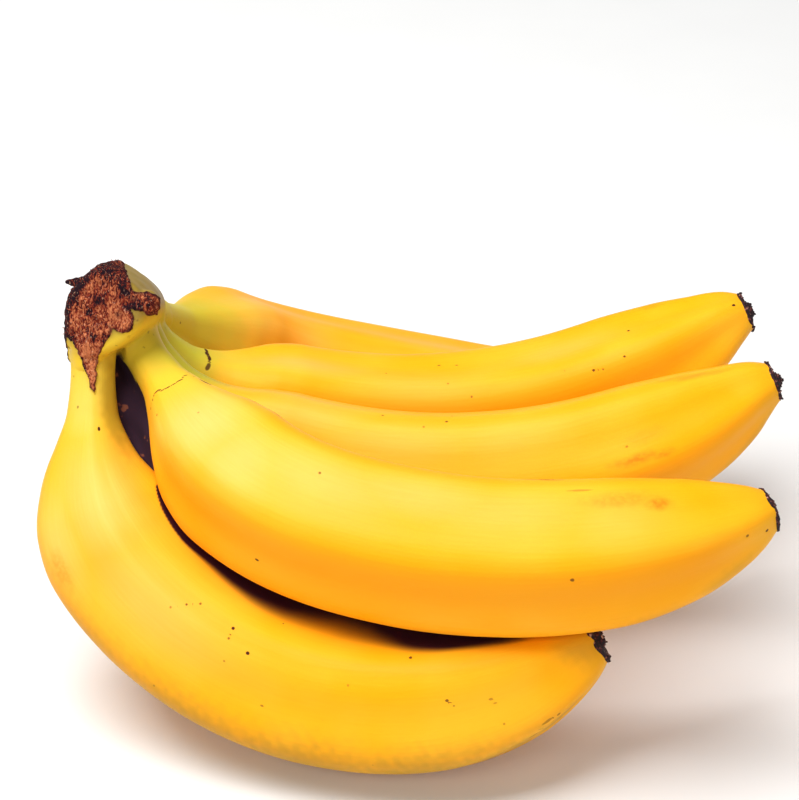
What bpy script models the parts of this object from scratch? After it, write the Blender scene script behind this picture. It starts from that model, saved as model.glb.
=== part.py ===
"""Bunch of five bananas on one crown, lying on the backs of its two outer fingers.

Metres, +Z up. X runs from the crown to the tips, Y from the front finger to the
back one. The origin is the bottom centre of the bunch's box, on the surface it
lies on.

Each finger is one loft along a bent line: a straight pedicel, a bend at the neck
and a steady curve through the body, with a soft five-sided section. Neighbours
that press on one another share a flattened flank, and the two fingers that carry
the bunch have a flattened spot where they stand.
"""

import math

import bmesh
import bpy
import numpy as np
from mathutils import Matrix, Vector

MM = 0.001

# Each finger, front to back. Lengths in millimetres, angles in degrees.
#   root: where the pedicel leaves the crown
#   heading, pitch: the way the pedicel points there
#   lean: turns the plane that the finger curves in about the pedicel
#   neck, neck_at: the bend at the neck, and its place as a share of the length
#   body, sway: the curve of the body, and a small bend out of that plane
#   ridge: where the first of the five ridges runs round the section
FINGERS = (
    dict(name="finger_1", root=(-77.3, 24.5, 86.2), heading=-90.3, pitch=-55.2, lean=-80.0,
         length=185.4, girth=20.76, neck=20.0, neck_at=0.204, body=103.6, sway=-1.3, ridge=141),
    dict(name="finger_2", root=(-68.1, 32.1, 85.9), heading=-55.6, pitch=-21.4, lean=-73.2,
         length=186.8, girth=19.41, neck=16.7, neck_at=0.315, body=64.7, sway=0.2, ridge=126),
    dict(name="finger_3", root=(-68.0, 42.7, 81.4), heading=-36.7, pitch=-44.0, lean=-45.1,
         length=183.4, girth=18.44, neck=28.9, neck_at=0.168, body=61.0, sway=-0.4, ridge=37),
    dict(name="finger_4", root=(-68.3, 53.5, 76.5), heading=5.5, pitch=-57.9, lean=-12.4,
         length=183.0, girth=18.87, neck=28.7, neck_at=0.111, body=67.2, sway=7.4, ridge=40),
    dict(name="finger_5", root=(-66.3, 64.6, 72.6), heading=67.3, pitch=-38.4, lean=81.1,
         length=184.8, girth=18.83, neck=32.3, neck_at=0.369, body=82.5, sway=4.9, ridge=40),
)
NECK_SPAN = 0.28       # share of the length that the bend at the neck takes
BODY_START = 0.15      # share of the length where the body's curve starts

# Radius along the finger, as a share of its girth radius.
GIRTH_PROFILE = ((0.0, 0.275), (0.03, 0.262), (0.085, 0.305), (0.123, 0.425), (0.18, 0.685),
                 (0.23, 0.89), (0.28, 0.974), (0.5, 1.0), (0.68, 0.974), (0.78, 0.935),
                 (0.88, 0.765), (0.945, 0.52), (0.98, 0.35), (1.0, 0.27))
# How far the five flats lie inside the ridges, as a share of the radius.
FLAT_PROFILE = ((0.0, 0.02), (0.1, 0.06), (0.25, 0.12), (0.8, 0.12), (0.94, 0.14), (1.0, 0.05))
GIRTH_GAIN = 1.035     # ridges stand a little proud of the mean girth

RINGS = 38
SECTORS = 30           # six to each ridge
LINE_STEPS = 200

PRESS_GAP = 0.5 * MM   # kept between two fingers that press together
SEAT_CUT = 1.2 * MM    # depth of the flattened spot on a finger that carries the bunch
JOIN_GAP = 0.35 * MM   # kept between the crown, the pedicels and the dried ends

# The crown: a thick cushion along the row of pedicels, cut through at the front.
# Stations along the row: distance from the first root, offset across and up,
# half width across and up, all in millimetres.
CROWN_STATIONS = (
    (-7.5, 9.4, 7.5, 10.7, 8.8),
    (-6.3, 9.4, 7.5, 12.1, 10.0),
    (0.0, 9.2, 7.2, 11.6, 10.1),
    (9.0, 8.4, 6.7, 10.8, 10.0),
    (18.0, 6.2, 5.8, 9.8, 9.0),
    (27.0, 3.9, 5.0, 8.8, 8.3),
    (36.0, 1.0, 3.6, 7.0, 7.6),
    (44.0, -1.2, 2.0, 5.4, 6.9),
    (47.5, -1.7, 0.6, 4.6, 6.0),
)
CROWN_SECTORS = 24
# Its section as seen from the cut end, as shares of those half widths.
CROWN_SECTION = ((0.98, -0.25), (0.92, 0.24), (0.68, 0.76), (0.42, 1.0), (-0.05, 0.92), (-0.5, 0.66),
                 (-0.78, 0.24), (-1.0, -0.3), (-0.93, -0.75), (-0.42, -1.0), (0.22, -0.95), (0.78, -0.68))

TONGUE_LENGTH = 12.6   # dried flap of skin that runs down the front pedicel
TONGUE_SPREAD = 74.0   # half its angle round the pedicel at the crown
TONGUE_FACING = 70.0   # the side of the pedicel it lies on
TONGUE_THICK = 1.3 * MM

SPIKE_LENGTH = 3.8 * MM
SPIKE_RADIUS = 1.1 * MM
SPIKE_AT = (-5.0, 7.9, 16.2)   # along the row, across, up, in millimetres
SPIKE_TO = (0.0, -0.91, 0.41)

# The dried end of each finger: distance past the tip, radius, in millimetres.
BLOSSOM_PROFILE = ((0.35, 4.3), (0.9, 4.6), (1.5, 3.9), (2.0, 2.4), (2.9, 2.1), (3.7, 1.5))
BLOSSOM_SECTORS = 15

COLOURS = {
    "banana_skin": ((0.93, 0.62, 0.06), 0.42),
    "crown_fibre": ((0.17, 0.065, 0.03), 0.85),
    "blossom_dry": ((0.03, 0.018, 0.014), 0.9),
}


def spline(table, at):
    """Monotone curve through the table's points."""
    x = np.array([row[0] for row in table])
    y = np.array([row[1] for row in table])
    step = np.diff(x)
    slope = np.diff(y) / step
    tangent = np.zeros(len(x))
    for i in range(1, len(x) - 1):
        if slope[i - 1] * slope[i] > 0:
            w1 = 2 * step[i] + step[i - 1]
            w2 = step[i] + 2 * step[i - 1]
            tangent[i] = (w1 + w2) / (w1 / slope[i - 1] + w2 / slope[i])
    tangent[0], tangent[-1] = slope[0], slope[-1]
    at = np.asarray(at, float)
    i = np.clip(np.searchsorted(x, at, side="right") - 1, 0, len(step) - 1)
    t = (at - x[i]) / step[i]
    return (y[i] * (1 + 2 * t) * (1 - t) ** 2 + tangent[i] * step[i] * t * (1 - t) ** 2
            + y[i + 1] * t * t * (3 - 2 * t) + tangent[i + 1] * step[i] * t * t * (t - 1))


def closed_curve(points, count):
    """Evenly spaced points on a smooth closed curve through the given ones."""
    points = np.array(points)
    at = np.arange(count) * len(points) / count
    i = at.astype(int)
    t = (at - i)[:, None]
    a, b, c, d = (points[(i + k) % len(points)] for k in (-1, 0, 1, 2))
    return b + t * ((c - a) / 2 + t * (a - 2.5 * b + 2 * c - d / 2 + t * (1.5 * (b - c) + (d - a) / 2)))


def ease(x):
    x = np.clip(x, 0.0, 1.0)
    return x * x * (3 - 2 * x)


def unit(v):
    return v / np.linalg.norm(v, axis=-1, keepdims=True)


class Finger:
    """The bent line of one finger, with the two axes of its section at every step."""

    def __init__(self, spec):
        self.spec = spec
        heading, pitch, lean = (math.radians(spec[k]) for k in ("heading", "pitch", "lean"))
        ahead = np.array([math.cos(pitch) * math.cos(heading),
                          math.cos(pitch) * math.sin(heading), math.sin(pitch)])
        upward = unit(np.array([0.0, 0.0, 1.0]) - ahead[2] * ahead)
        sideways = np.cross(ahead, upward)
        inward = math.cos(lean) * upward + math.sin(lean) * sideways
        across = np.cross(ahead, inward)

        self.length = spec["length"] * MM
        self.place = np.linspace(0.0, 1.0, LINE_STEPS + 1)
        bend = (math.radians(spec["neck"]) * ease((self.place - spec["neck_at"]) / NECK_SPAN + 0.5)
                + math.radians(spec["body"]) * np.clip((self.place - BODY_START) / (1 - BODY_START), 0, 1))
        sway = math.radians(spec["sway"]) * ease((self.place - 0.05) / 0.25)
        self.ahead = ((np.cos(bend) * np.cos(sway))[:, None] * ahead
                      + (np.sin(bend) * np.cos(sway))[:, None] * inward
                      + np.sin(sway)[:, None] * across)
        steps = (self.ahead[1:] + self.ahead[:-1]) / 2 * self.length / LINE_STEPS
        self.line = np.array(spec["root"]) * MM + np.vstack([np.zeros(3), np.cumsum(steps, axis=0)])
        self.across = unit(across - (self.ahead @ across)[:, None] * self.ahead)
        self.inward = np.cross(self.across, self.ahead)
        self.radius = spline(GIRTH_PROFILE, self.place) * spec["girth"] * GIRTH_GAIN * MM
        self.flat = spline(FLAT_PROFILE, self.place)
        self.ridge = math.radians(spec["ridge"])

    def at(self, place, values):
        if values.ndim == 1:
            return np.interp(place, self.place, values)
        return np.stack([np.interp(place, self.place, values[:, i]) for i in range(3)], axis=-1)

    def reach(self, place, angle):
        """Distance from the line to the skin, before any pressing."""
        lobes = (1 - np.cos(5 * (angle - self.ridge))) / 2
        return self.at(place, self.radius) * (1 - self.at(place, self.flat) * lobes)

    def direction(self, place, angle):
        inward, across = self.at(place, self.inward), self.at(place, self.across)
        return np.cos(angle)[..., None] * inward + np.sin(angle)[..., None] * across

    def depth_share(self, points):
        """How far out of this finger each point lies: 1 on its skin, more outside."""
        offset = points[:, None, :] - self.line[None]
        nearest = np.argmin((offset ** 2).sum(axis=2), axis=1)
        rows = np.arange(len(points))
        offset = offset[rows, nearest]
        angle = np.arctan2((offset * self.across[nearest]).sum(axis=1),
                           (offset * self.inward[nearest]).sum(axis=1))
        reach = self.reach(self.place[nearest], angle)
        return np.linalg.norm(offset, axis=1) / reach, reach


def press(finger, others, centres, directions, reaches):
    """Pull the skin in where a neighbour presses on it, to the flank they share."""
    low = np.full(len(reaches), 0.4)
    high = np.ones(len(reaches))

    def clear(share):
        points = centres + directions * (share * reaches)[:, None]
        good = np.ones(len(reaches), bool)
        for other in others:
            depth, reach = other.depth_share(points)
            good &= depth >= share + PRESS_GAP / reach
        return good

    free = clear(high)
    for _ in range(14):
        middle = (low + high) / 2
        good = clear(middle)
        low = np.where(good, middle, low)
        high = np.where(good, high, middle)
    return np.where(free, 1.0, low) * reaches


def loft(name, rings):
    """Closed mesh through equal rings of points, with a flat cap at each end."""
    mesh = bpy.data.meshes.new(name)
    bm = bmesh.new()
    rows = [[bm.verts.new(point) for point in ring] for ring in rings]
    count = len(rows[0])
    for lower, upper in zip(rows, rows[1:]):
        for i in range(count):
            j = (i + 1) % count
            bm.faces.new((lower[i], lower[j], upper[j], upper[i]))
    bm.faces.new(list(reversed(rows[0])))
    bm.faces.new(rows[-1])
    bmesh.ops.recalc_face_normals(bm, faces=bm.faces)
    bm.to_mesh(mesh)
    bm.free()
    mesh.shade_smooth()
    mesh.set_sharp_from_angle(angle=math.radians(40))
    return mesh


def material(name):
    found = bpy.data.materials.get(name)
    if found:
        return found
    colour, roughness = COLOURS[name]
    made = bpy.data.materials.new(name)
    made.use_nodes = True
    shader = made.node_tree.nodes["Principled BSDF"]
    shader.inputs["Base Color"].default_value = (*colour, 1.0)
    shader.inputs["Roughness"].default_value = roughness
    shader.inputs["Metallic"].default_value = 0.0
    made.diffuse_color = (*colour, 1.0)
    return made


def add(name, mesh, matrix, collection, parent, slot=None):
    """Put a mesh made in world space on an object placed by the matrix."""
    mesh.transform(matrix.inverted())
    thing = bpy.data.objects.new(name, mesh)
    collection.objects.link(thing)
    thing.parent = parent
    thing.matrix_world = matrix
    if slot:
        mesh.materials.append(material(slot))
    return thing


def pose(origin, ahead, inward):
    """Matrix at the origin with Z along the finger and X to its inner side."""
    z = Vector(ahead).normalized()
    x = Vector(inward)
    x = (x - x.dot(z) * z).normalized()
    y = z.cross(x)
    matrix = Matrix((x, y, z)).transposed().to_4x4()
    matrix.translation = Vector(origin)
    return matrix


def finger_rings(finger, others):
    """Rings of skin points, closer together at the neck and the tip."""
    even = np.linspace(0.0, 1.0, RINGS)
    places = 0.55 * even + 0.45 * (1 - np.cos(math.pi * even)) / 2
    angles = finger.ridge + np.arange(SECTORS) * 2 * math.pi / SECTORS
    place, angle = (grid.ravel() for grid in np.meshgrid(places, angles, indexing="ij"))
    centres = finger.at(place, finger.line)
    directions = finger.direction(place, angle)
    reaches = finger.reach(place, angle)
    reaches = press(finger, others, centres, directions, reaches)
    return (centres + directions * reaches[:, None]).reshape(RINGS, SECTORS, 3)


def stub_rings(finger, end, extra):
    """Rings of the bare pedicel, grown by a margin and started that much early."""
    places = np.linspace(0.0, end, 8)
    angles = finger.ridge + np.arange(SECTORS) * 2 * math.pi / SECTORS
    rings = []
    for i, place in enumerate(places):
        spots = np.full(SECTORS, place)
        ring = (finger.at(spots, finger.line)
                + finger.direction(spots, angles) * (finger.reach(spots, angles) + extra)[:, None])
        rings.append(ring - finger.ahead[0] * extra if i == 0 else ring)
    return rings


def crown_frame(fingers):
    """Axes of the crown: along the row of roots, across it, and up off the fingers."""
    first, last = fingers[0].line[0], fingers[-1].line[0]
    along = unit(last - first)
    away = -sum(finger.ahead[0] for finger in fingers)
    up = unit(away - (away @ along) * along)
    return first, along, np.cross(along, up), up


def crown_rings(fingers):
    first, along, across, up = crown_frame(fingers)
    section = closed_curve(CROWN_SECTION, CROWN_SECTORS)
    rings = []
    for distance, shift, lift, wide, tall in CROWN_STATIONS:
        centre = first + (distance * along + shift * across + lift * up) * MM
        rings.append([centre + (x * wide * across + y * tall * up) * MM for x, y in section])
    return rings


def tongue_rings(finger):
    """A flap that narrows to a point as it runs down the pedicel."""
    rings = []
    columns = 9
    for i in range(7):
        share = i / 6
        place = (-1.5 + share * (TONGUE_LENGTH + 1.5)) * MM / finger.length
        half = math.radians(TONGUE_SPREAD) * (1 - max(share - 0.1, 0) / 0.9) ** 0.8
        half = max(half, math.radians(6))
        thick = TONGUE_THICK * (1 - 0.45 * share)
        outer, inner = [], []
        for j in range(columns):
            angle = math.radians(TONGUE_FACING) + half * (2 * j / (columns - 1) - 1)
            spot = np.array([max(place, 0.0)])
            turn = np.array([angle])
            centre = finger.at(spot, finger.line)[0] + finger.ahead[0] * min(place, 0.0) * finger.length
            way = finger.direction(spot, turn)[0]
            reach = finger.reach(spot, turn)[0]
            outer.append(centre + way * (reach + thick))
            inner.append(centre + way * (reach - 0.8 * MM))
        rings.append(outer + inner[::-1])
    return rings


def spike_rings(fingers):
    first, along, across, up = crown_frame(fingers)
    start = first + (SPIKE_AT[0] * along + SPIKE_AT[1] * across + SPIKE_AT[2] * up) * MM
    ahead = unit(SPIKE_TO[0] * along + SPIKE_TO[1] * across + SPIKE_TO[2] * up)
    side = unit(np.cross(ahead, along))
    other = np.cross(ahead, side)
    rings = []
    for share, width in ((-0.9, 1.1), (0.0, 1.0), (0.45, 0.72), (0.8, 0.4), (1.0, 0.16)):
        centre = start + ahead * share * SPIKE_LENGTH
        rings.append([centre + SPIKE_RADIUS * width * (math.cos(a) * side + math.sin(a) * other)
                      for a in (2 * math.pi * i / 8 for i in range(8))])
    return rings


def blossom_rings(finger):
    tip, ahead = finger.line[-1], finger.ahead[-1]
    inward, across = finger.inward[-1], finger.across[-1]
    rings = []
    for distance, radius in BLOSSOM_PROFILE:
        ring = []
        for i in range(BLOSSOM_SECTORS):
            angle = 2 * math.pi * i / BLOSSOM_SECTORS
            lobed = radius * (1 + 0.07 * math.cos(5 * (angle - finger.ridge)))
            ring.append(tip + (distance * ahead
                               + lobed * (math.cos(angle) * inward + math.sin(angle) * across)) * MM)
        rings.append(ring)
    return rings


def cut(target, cutter, operation):
    modifier = target.modifiers.new(cutter.name, "BOOLEAN")
    modifier.object = cutter
    modifier.operation = operation
    cutter.hide_render = True
    cutter.display_type = "WIRE"


def main():
    for thing in list(bpy.data.objects):
        bpy.data.objects.remove(thing)

    scene = bpy.context.scene
    bunch = bpy.data.collections.new("banana_bunch")
    tools = bpy.data.collections.new("cutters")
    scene.collection.children.link(bunch)
    scene.collection.children.link(tools)
    base = bpy.data.objects.new("bunch_base", None)
    bunch.objects.link(base)

    fingers = [Finger(spec) for spec in FINGERS]
    skins = [finger_rings(finger, [other for other in fingers if other is not finger])
             for finger in fingers]
    crown = np.array(crown_rings(fingers))
    blossoms = [np.array(blossom_rings(finger)) for finger in fingers]

    # Set the bunch down: its lowest skin goes a little under the surface and is
    # flattened there, and the middle of its box goes over the origin.
    everything = np.concatenate([part.reshape(-1, 3) for part in [*skins, crown, *blossoms]])
    low, high = everything.min(axis=0), everything.max(axis=0)
    shift = np.array([-(low[0] + high[0]) / 2, -(low[1] + high[1]) / 2, -low[2] - SEAT_CUT])
    for finger in fingers:
        finger.line = finger.line + shift
    for skin in skins:
        skin += shift
        skin[..., 2] = np.maximum(skin[..., 2], 0.0)

    for finger, skin in zip(fingers, skins):
        number = finger.spec["name"][-1]
        matrix = pose(finger.line[0], finger.ahead[0], finger.inward[0])
        add(finger.spec["name"], loft(finger.spec["name"], skin), matrix, bunch, base, "banana_skin")
        name = "blossom_end_" + number
        matrix = pose(finger.line[-1], finger.ahead[-1], finger.inward[-1])
        add(name, loft(name, blossom_rings(finger)), matrix, bunch, base, "blossom_dry")

    first, along, across, up = crown_frame(fingers)
    matrix = pose(first, along, across)
    cushion = add("crown", loft("crown", crown_rings(fingers)), matrix, bunch, base, "crown_fibre")
    flap = add("flap_shape", loft("flap_shape", tongue_rings(fingers[0])), matrix, tools, base)
    cut(cushion, flap, "UNION")
    spike = add("spike_shape", loft("spike_shape", spike_rings(fingers)), matrix, tools, base)
    cut(cushion, spike, "UNION")
    for finger in fingers:
        name = "socket_" + finger.spec["name"][-1]
        rings = stub_rings(finger, 0.14, JOIN_GAP)
        socket = add(name, loft(name, rings), matrix, tools, base)
        cut(cushion, socket, "DIFFERENCE")
    bpy.context.view_layer.update()


main()
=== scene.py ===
"""Looks for a bunch of five bananas: skins, crown, dried blossom ends and the stage."""

import math

import bmesh
import bpy
import numpy as np
from bpy.props import (FloatProperty, FloatVectorProperty, IntProperty,
                       PointerProperty)
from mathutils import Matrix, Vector


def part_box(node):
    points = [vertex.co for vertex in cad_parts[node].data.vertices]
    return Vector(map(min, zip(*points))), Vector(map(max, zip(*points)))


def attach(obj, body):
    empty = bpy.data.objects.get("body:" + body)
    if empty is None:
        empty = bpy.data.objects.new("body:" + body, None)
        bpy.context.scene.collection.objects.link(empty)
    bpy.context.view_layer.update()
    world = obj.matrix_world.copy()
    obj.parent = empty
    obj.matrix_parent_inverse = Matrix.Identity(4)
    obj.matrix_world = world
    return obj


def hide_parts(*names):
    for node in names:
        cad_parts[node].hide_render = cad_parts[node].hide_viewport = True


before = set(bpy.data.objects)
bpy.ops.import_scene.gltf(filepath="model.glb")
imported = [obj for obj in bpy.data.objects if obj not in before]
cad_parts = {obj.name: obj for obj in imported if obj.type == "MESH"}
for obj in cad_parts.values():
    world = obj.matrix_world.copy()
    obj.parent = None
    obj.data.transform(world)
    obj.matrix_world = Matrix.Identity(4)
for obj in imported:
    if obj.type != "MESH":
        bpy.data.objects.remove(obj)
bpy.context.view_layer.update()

bl_info = {
    "name": "Banana bunch",
    "version": (1, 0, 0),
    "blender": (4, 5, 0),
    "location": "3D View > Sidebar > Bunch",
    "description": "Grows five bananas on one crown, with their skins and dried ends",
    "category": "Object",
}

MM = 0.001

# Each finger, front to back, as the part's source has it: millimetres and degrees.
FINGERS = (
    dict(name="finger_1", root=(-77.3, 24.5, 86.2), heading=-90.3, pitch=-55.2, lean=-80.0,
         length=185.4, girth=20.76, neck=20.0, neck_at=0.204, body=103.6, sway=-1.3, ridge=141),
    dict(name="finger_2", root=(-68.1, 32.1, 85.9), heading=-55.6, pitch=-21.4, lean=-73.2,
         length=186.8, girth=19.41, neck=16.7, neck_at=0.315, body=64.7, sway=0.2, ridge=126),
    dict(name="finger_3", root=(-68.0, 42.7, 81.4), heading=-36.7, pitch=-44.0, lean=-45.1,
         length=183.4, girth=18.44, neck=28.9, neck_at=0.168, body=61.0, sway=-0.4, ridge=37),
    dict(name="finger_4", root=(-68.3, 53.5, 76.5), heading=5.5, pitch=-57.9, lean=-12.4,
         length=183.0, girth=18.87, neck=28.7, neck_at=0.111, body=67.2, sway=7.4, ridge=40),
    dict(name="finger_5", root=(-66.3, 64.6, 72.6), heading=67.3, pitch=-38.4, lean=81.1,
         length=184.8, girth=18.83, neck=32.3, neck_at=0.369, body=82.5, sway=4.9, ridge=40),
)
NECK_SPAN = 0.28
BODY_START = 0.15
GIRTH_PROFILE = ((0.0, 0.275), (0.03, 0.262), (0.085, 0.305), (0.123, 0.425), (0.18, 0.685),
                 (0.23, 0.89), (0.28, 0.974), (0.5, 1.0), (0.68, 0.974), (0.78, 0.935),
                 (0.88, 0.77), (0.945, 0.555), (0.98, 0.395), (1.0, 0.27))
FLAT_PROFILE = ((0.0, 0.02), (0.1, 0.06), (0.25, 0.12), (0.8, 0.12), (0.94, 0.14), (1.0, 0.05))
GIRTH_GAIN = 1.035
# Degrees that the last few millimetres of a finger turn back towards the level.
TIP_DROOP = {"finger_3": 14.0, "finger_4": 18.0}
DROOP_SPAN = 0.06
# The share of the length where a finger's sideways sway comes in, and how long that takes.
SWAY_START = 0.05
SWAY_SPAN = 0.25
LINE_STEPS = 240
# How much closer the rings of skin stand towards both ends, as a share.
END_CROWDING = 0.28
RIPPLE_SIZE = 28 * MM
# The least of its reach that a pressed skin keeps.
DEEPEST_PRESS = 0.4

# Marks on the skins by kind: share of the length, angle round the finger in degrees,
# half length along and half width across in millimetres, strength. The pale patches among them are
# painted highlight, where the lamps light the skin most.
# The olive patches among them are painted shade on the undersides and on the shaded sides.
MARKS = {
    "finger_1": {
        "dot": ((0.11, 62, 0.55, 0.35, 1.0), (0.08, 110, 0.4, 0.3, 0.6),
                (0.415, 72, 0.3, 0.3, 0.8), (0.43, 66, 0.3, 0.3, 0.7), (0.4, 80, 0.3, 0.3, 0.5),
                (0.49, 68, 0.42, 0.4, 1.0), (0.492, 75, 0.3, 0.3, 0.7),
                (0.525, 78, 0.48, 0.42, 1.0), (0.5, 90, 0.3, 0.28, 0.5), (0.55, 46, 0.3, 0.3, 0.6),
                (0.755, 58, 0.45, 0.4, 0.9), (0.565, 110, 0.42, 0.3, 0.6),
                (0.67, 80, 0.3, 0.3, 0.4), (0.8, 92, 0.42, 0.38, 0.8), (0.807, 97, 0.3, 0.3, 0.5),
                (0.853, 99, 0.5, 0.28, 0.5), (0.857, 104, 0.45, 0.28, 0.4),
                (0.92, 146, 0.5, 0.4, 0.6)),
        "scuff": ((0.905, 143, 1.2, 0.5, 0.5), (0.885, 152, 1.2, 0.4, 0.4)),
        "bruise": ((0.27, 128, 4.0, 2.5, 0.5),),
        "painted_shade": ((0.36, 156, 18.0, 9.0, 0.5), (0.49, 162, 24.0, 12.0, 0.7),
                  (0.62, 162, 24.0, 12.0, 0.75), (0.74, 163, 20.0, 11.0, 0.75),
                  (0.83, 170, 14.0, 8.5, 0.75), (0.9, 169, 8.0, 5.0, 0.7),
                  (0.985, 66, 6.0, 8.0, 0.35), (0.075, 22, 13.0, 3.4, 0.65)),
        "painted_highlight": ((0.215, 76, 16.0, 11.0, 0.75), (0.24, 122, 12.0, 7.0, 0.6),
                  (0.37, 86, 22.0, 11.0, 0.45), (0.07, 96, 9.0, 5.0, 0.85)),
    },
    "finger_2": {
        "crack": ((0.12, 122, 0.22, 0.9, 0.9), (0.125, 111, 0.2, 0.7, 0.8),
                  (0.126, 101, 0.22, 0.8, 0.9), (0.126, 89, 0.2, 0.6, 0.8),
                  (0.125, 77, 0.22, 0.9, 0.9), (0.12, 62, 0.2, 0.7, 0.7),
                  (0.108, 34, 0.22, 0.8, 0.8)),
        "dot": ((0.125, 136, 0.35, 0.35, 0.6), (0.155, 134, 0.35, 0.3, 0.6),
                (0.13, 150, 0.35, 0.35, 0.5), (0.365, 168, 0.42, 0.35, 0.9),
                (0.4, 78, 0.38, 0.34, 0.7), (0.98, 152, 0.45, 0.42, 1.0),
                (0.95, 138, 0.36, 0.32, 0.7), (0.73, 136, 0.42, 0.4, 0.8)),
        "scuff": ((0.145, 47, 2.0, 0.4, 0.9), (0.225, 43, 4.5, 0.4, 1.0),
                  (0.27, 42, 3.0, 0.32, 0.9), (0.335, 40, 5.0, 0.35, 1.0),
                  (0.362, 41, 3.0, 0.3, 0.9), (0.455, 41, 2.4, 0.35, 1.0),
                  (0.695, 46, 4.0, 0.42, 0.6), (0.715, 49, 3.0, 0.35, 0.5),
                  (0.75, 64, 3.0, 0.3, 0.4)),
        "bruise": ((0.8, 74, 9.0, 2.0, 0.45), (0.85, 80, 3.0, 1.6, 0.9)),
        "painted_shade": ((0.83, 202, 9.0, 4.0, 0.25), (0.92, 192, 7.0, 3.5, 0.3)),
        "painted_highlight": ((0.215, 96, 11.0, 12.0, 0.9), (0.3, 100, 10.0, 9.0, 0.6),
                  (0.405, 86, 20.0, 9.0, 0.45), (0.535, 76, 22.0, 7.0, 0.4),
                  (0.645, 84, 20.0, 8.0, 0.3), (0.795, 94, 12.0, 8.0, 0.25)),
    },
    "finger_3": {
        "dot": ((0.415, 32, 0.38, 0.3, 0.7), (0.515, 36, 0.4, 0.36, 0.8),
                (0.48, 42, 0.34, 0.3, 0.5), (0.785, 10, 0.36, 0.34, 0.9),
                (0.77, 84, 0.4, 0.34, 0.5)),
        "painted_shade": ((0.875, 31, 5.0, 0.8, 0.35), (0.9, 36, 5.5, 1.0, 0.5),
                  (0.93, 38, 4.0, 0.8, 0.35), (0.92, 178, 12.0, 3.0, 0.35)),
        "bruise": ((0.755, 96, 3.5, 1.0, 0.5), (0.78, 97, 4.5, 1.2, 0.85),
                   (0.815, 101, 2.5, 1.0, 0.7), (0.8, 80, 6.0, 2.0, 0.2)),
        "painted_highlight": ((0.275, 14, 20.0, 5.0, 0.5), (0.3, 40, 18.0, 6.0, 0.45),
                  (0.445, 56, 22.0, 6.0, 0.35), (0.6, 56, 20.0, 6.0, 0.25)),
    },
    "finger_4": {
        "dot": ((0.83, 12, 0.4, 0.38, 1.0), (0.805, 42, 0.38, 0.34, 0.9),
                (0.75, 44, 0.42, 0.36, 0.9), (0.765, 46, 0.3, 0.3, 0.6),
                (0.545, 44, 0.32, 0.3, 0.6), (0.41, 14, 0.34, 0.3, 0.6),
                (0.505, 358, 0.5, 0.3, 0.7), (0.535, 0, 0.5, 0.3, 0.6), (0.51, 30, 0.3, 0.3, 0.5),
                (0.985, 35, 0.4, 0.36, 1.0)),
        "bruise": ((0.88, 338, 3.0, 1.5, 0.4),),
        "scar": ((0.111, 350, 0.45, 1.5, 1.0), (0.1095, 9, 0.65, 1.0, 1.0),
                 (0.1125, 26, 0.5, 1.3, 1.0), (0.1135, 48, 0.6, 1.1, 0.9)),
        "painted_shade": ((0.96, 142, 7.0, 3.5, 0.4),),
        "painted_highlight": ((0.26, 18, 18.0, 5.0, 0.45), (0.46, 36, 22.0, 6.0, 0.35),
                  (0.715, 8, 15.0, 5.0, 0.3)),
    },
    "finger_5": {
        "dot": ((0.045, 4, 0.36, 0.3, 0.6), (0.33, 300, 0.36, 0.3, 0.6),
                (0.55, 80, 0.4, 0.36, 0.8), (0.71, 150, 0.38, 0.34, 0.7)),
        "bruise": ((0.62, 40, 6.0, 2.0, 0.4),),
        "scuff": ((0.48, 112, 5.0, 0.5, 0.7),),
        "painted_highlight": ((0.225, 318, 14.0, 9.0, 0.55), (0.36, 330, 16.0, 7.0, 0.4),
                  (0.64, 304, 20.0, 6.0, 0.3)),
    },
}

# How far from its neighbour the painted shade in the crevice on the first finger reaches,
# in millimetres, by share of the length.
CREVICE_SHADE_WIDTH = ((0.0, 0.3), (0.17, 1.3), (0.27, 1.9), (0.36, 2.9), (0.45, 5.5), (0.55, 7.9),
             (0.75, 7.2), (0.85, 4.0), (1.0, 0.5))

# Painted shade under a ridge, where the skin turns to its deeper yellow: degrees past the ridge,
# strength.
RIDGE_SHADES = {"finger_2": (1, 0.8), "finger_3": (22, 0.25), "finger_4": (1, 0.6)}

# How green each neck still is, and how far down it, against the others.
GREENEST = 0.95
GREENED = {"finger_1": (0.6, 1.0), "finger_2": (0.8, 1.0), "finger_3": (0.95, 1.1),
           "finger_4": (0.95, 1.1), "finger_5": (0.85, 1.45)}

# Direction round a finger of the side turned to the bunch, which stays greener.
SHADE_SIDE = math.radians(10)

# The crown along the row of pedicels: distance from the first root, offset across
# and up, half width across and up, in millimetres.
CROWN_STATIONS = (
    (-7.5, 9.4, 7.5, 10.7, 8.8),
    (-6.3, 9.4, 7.5, 12.1, 10.0),
    (0.0, 9.2, 7.2, 11.6, 10.1),
    (9.0, 8.4, 6.7, 10.8, 10.0),
    (18.0, 6.2, 5.8, 9.8, 9.0),
    (27.0, 3.9, 5.0, 8.8, 8.3),
    (36.0, 1.0, 3.6, 7.0, 7.6),
    (44.0, -1.2, 2.0, 5.4, 6.9),
    (47.5, -1.7, 0.6, 4.6, 6.0),
)
# Its section as seen from the cut end, as shares of those half widths.
CROWN_SECTION = ((0.98, -0.25), (0.92, 0.24), (0.68, 0.76), (0.42, 1.0), (-0.05, 0.92),
                 (-0.5, 0.66), (-0.78, 0.24), (-1.0, -0.3), (-0.93, -0.75), (-0.42, -1.0),
                 (0.22, -0.95), (0.78, -0.68))

# Each pedicel's base on the crown: share of the finger's length, swelling in millimetres.
PEDICEL_BASES = ((0.055, 0.5), (0.085, 1.5), (0.085, 1.0), (0.085, 0.8), (0.07, 0.3))
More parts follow.
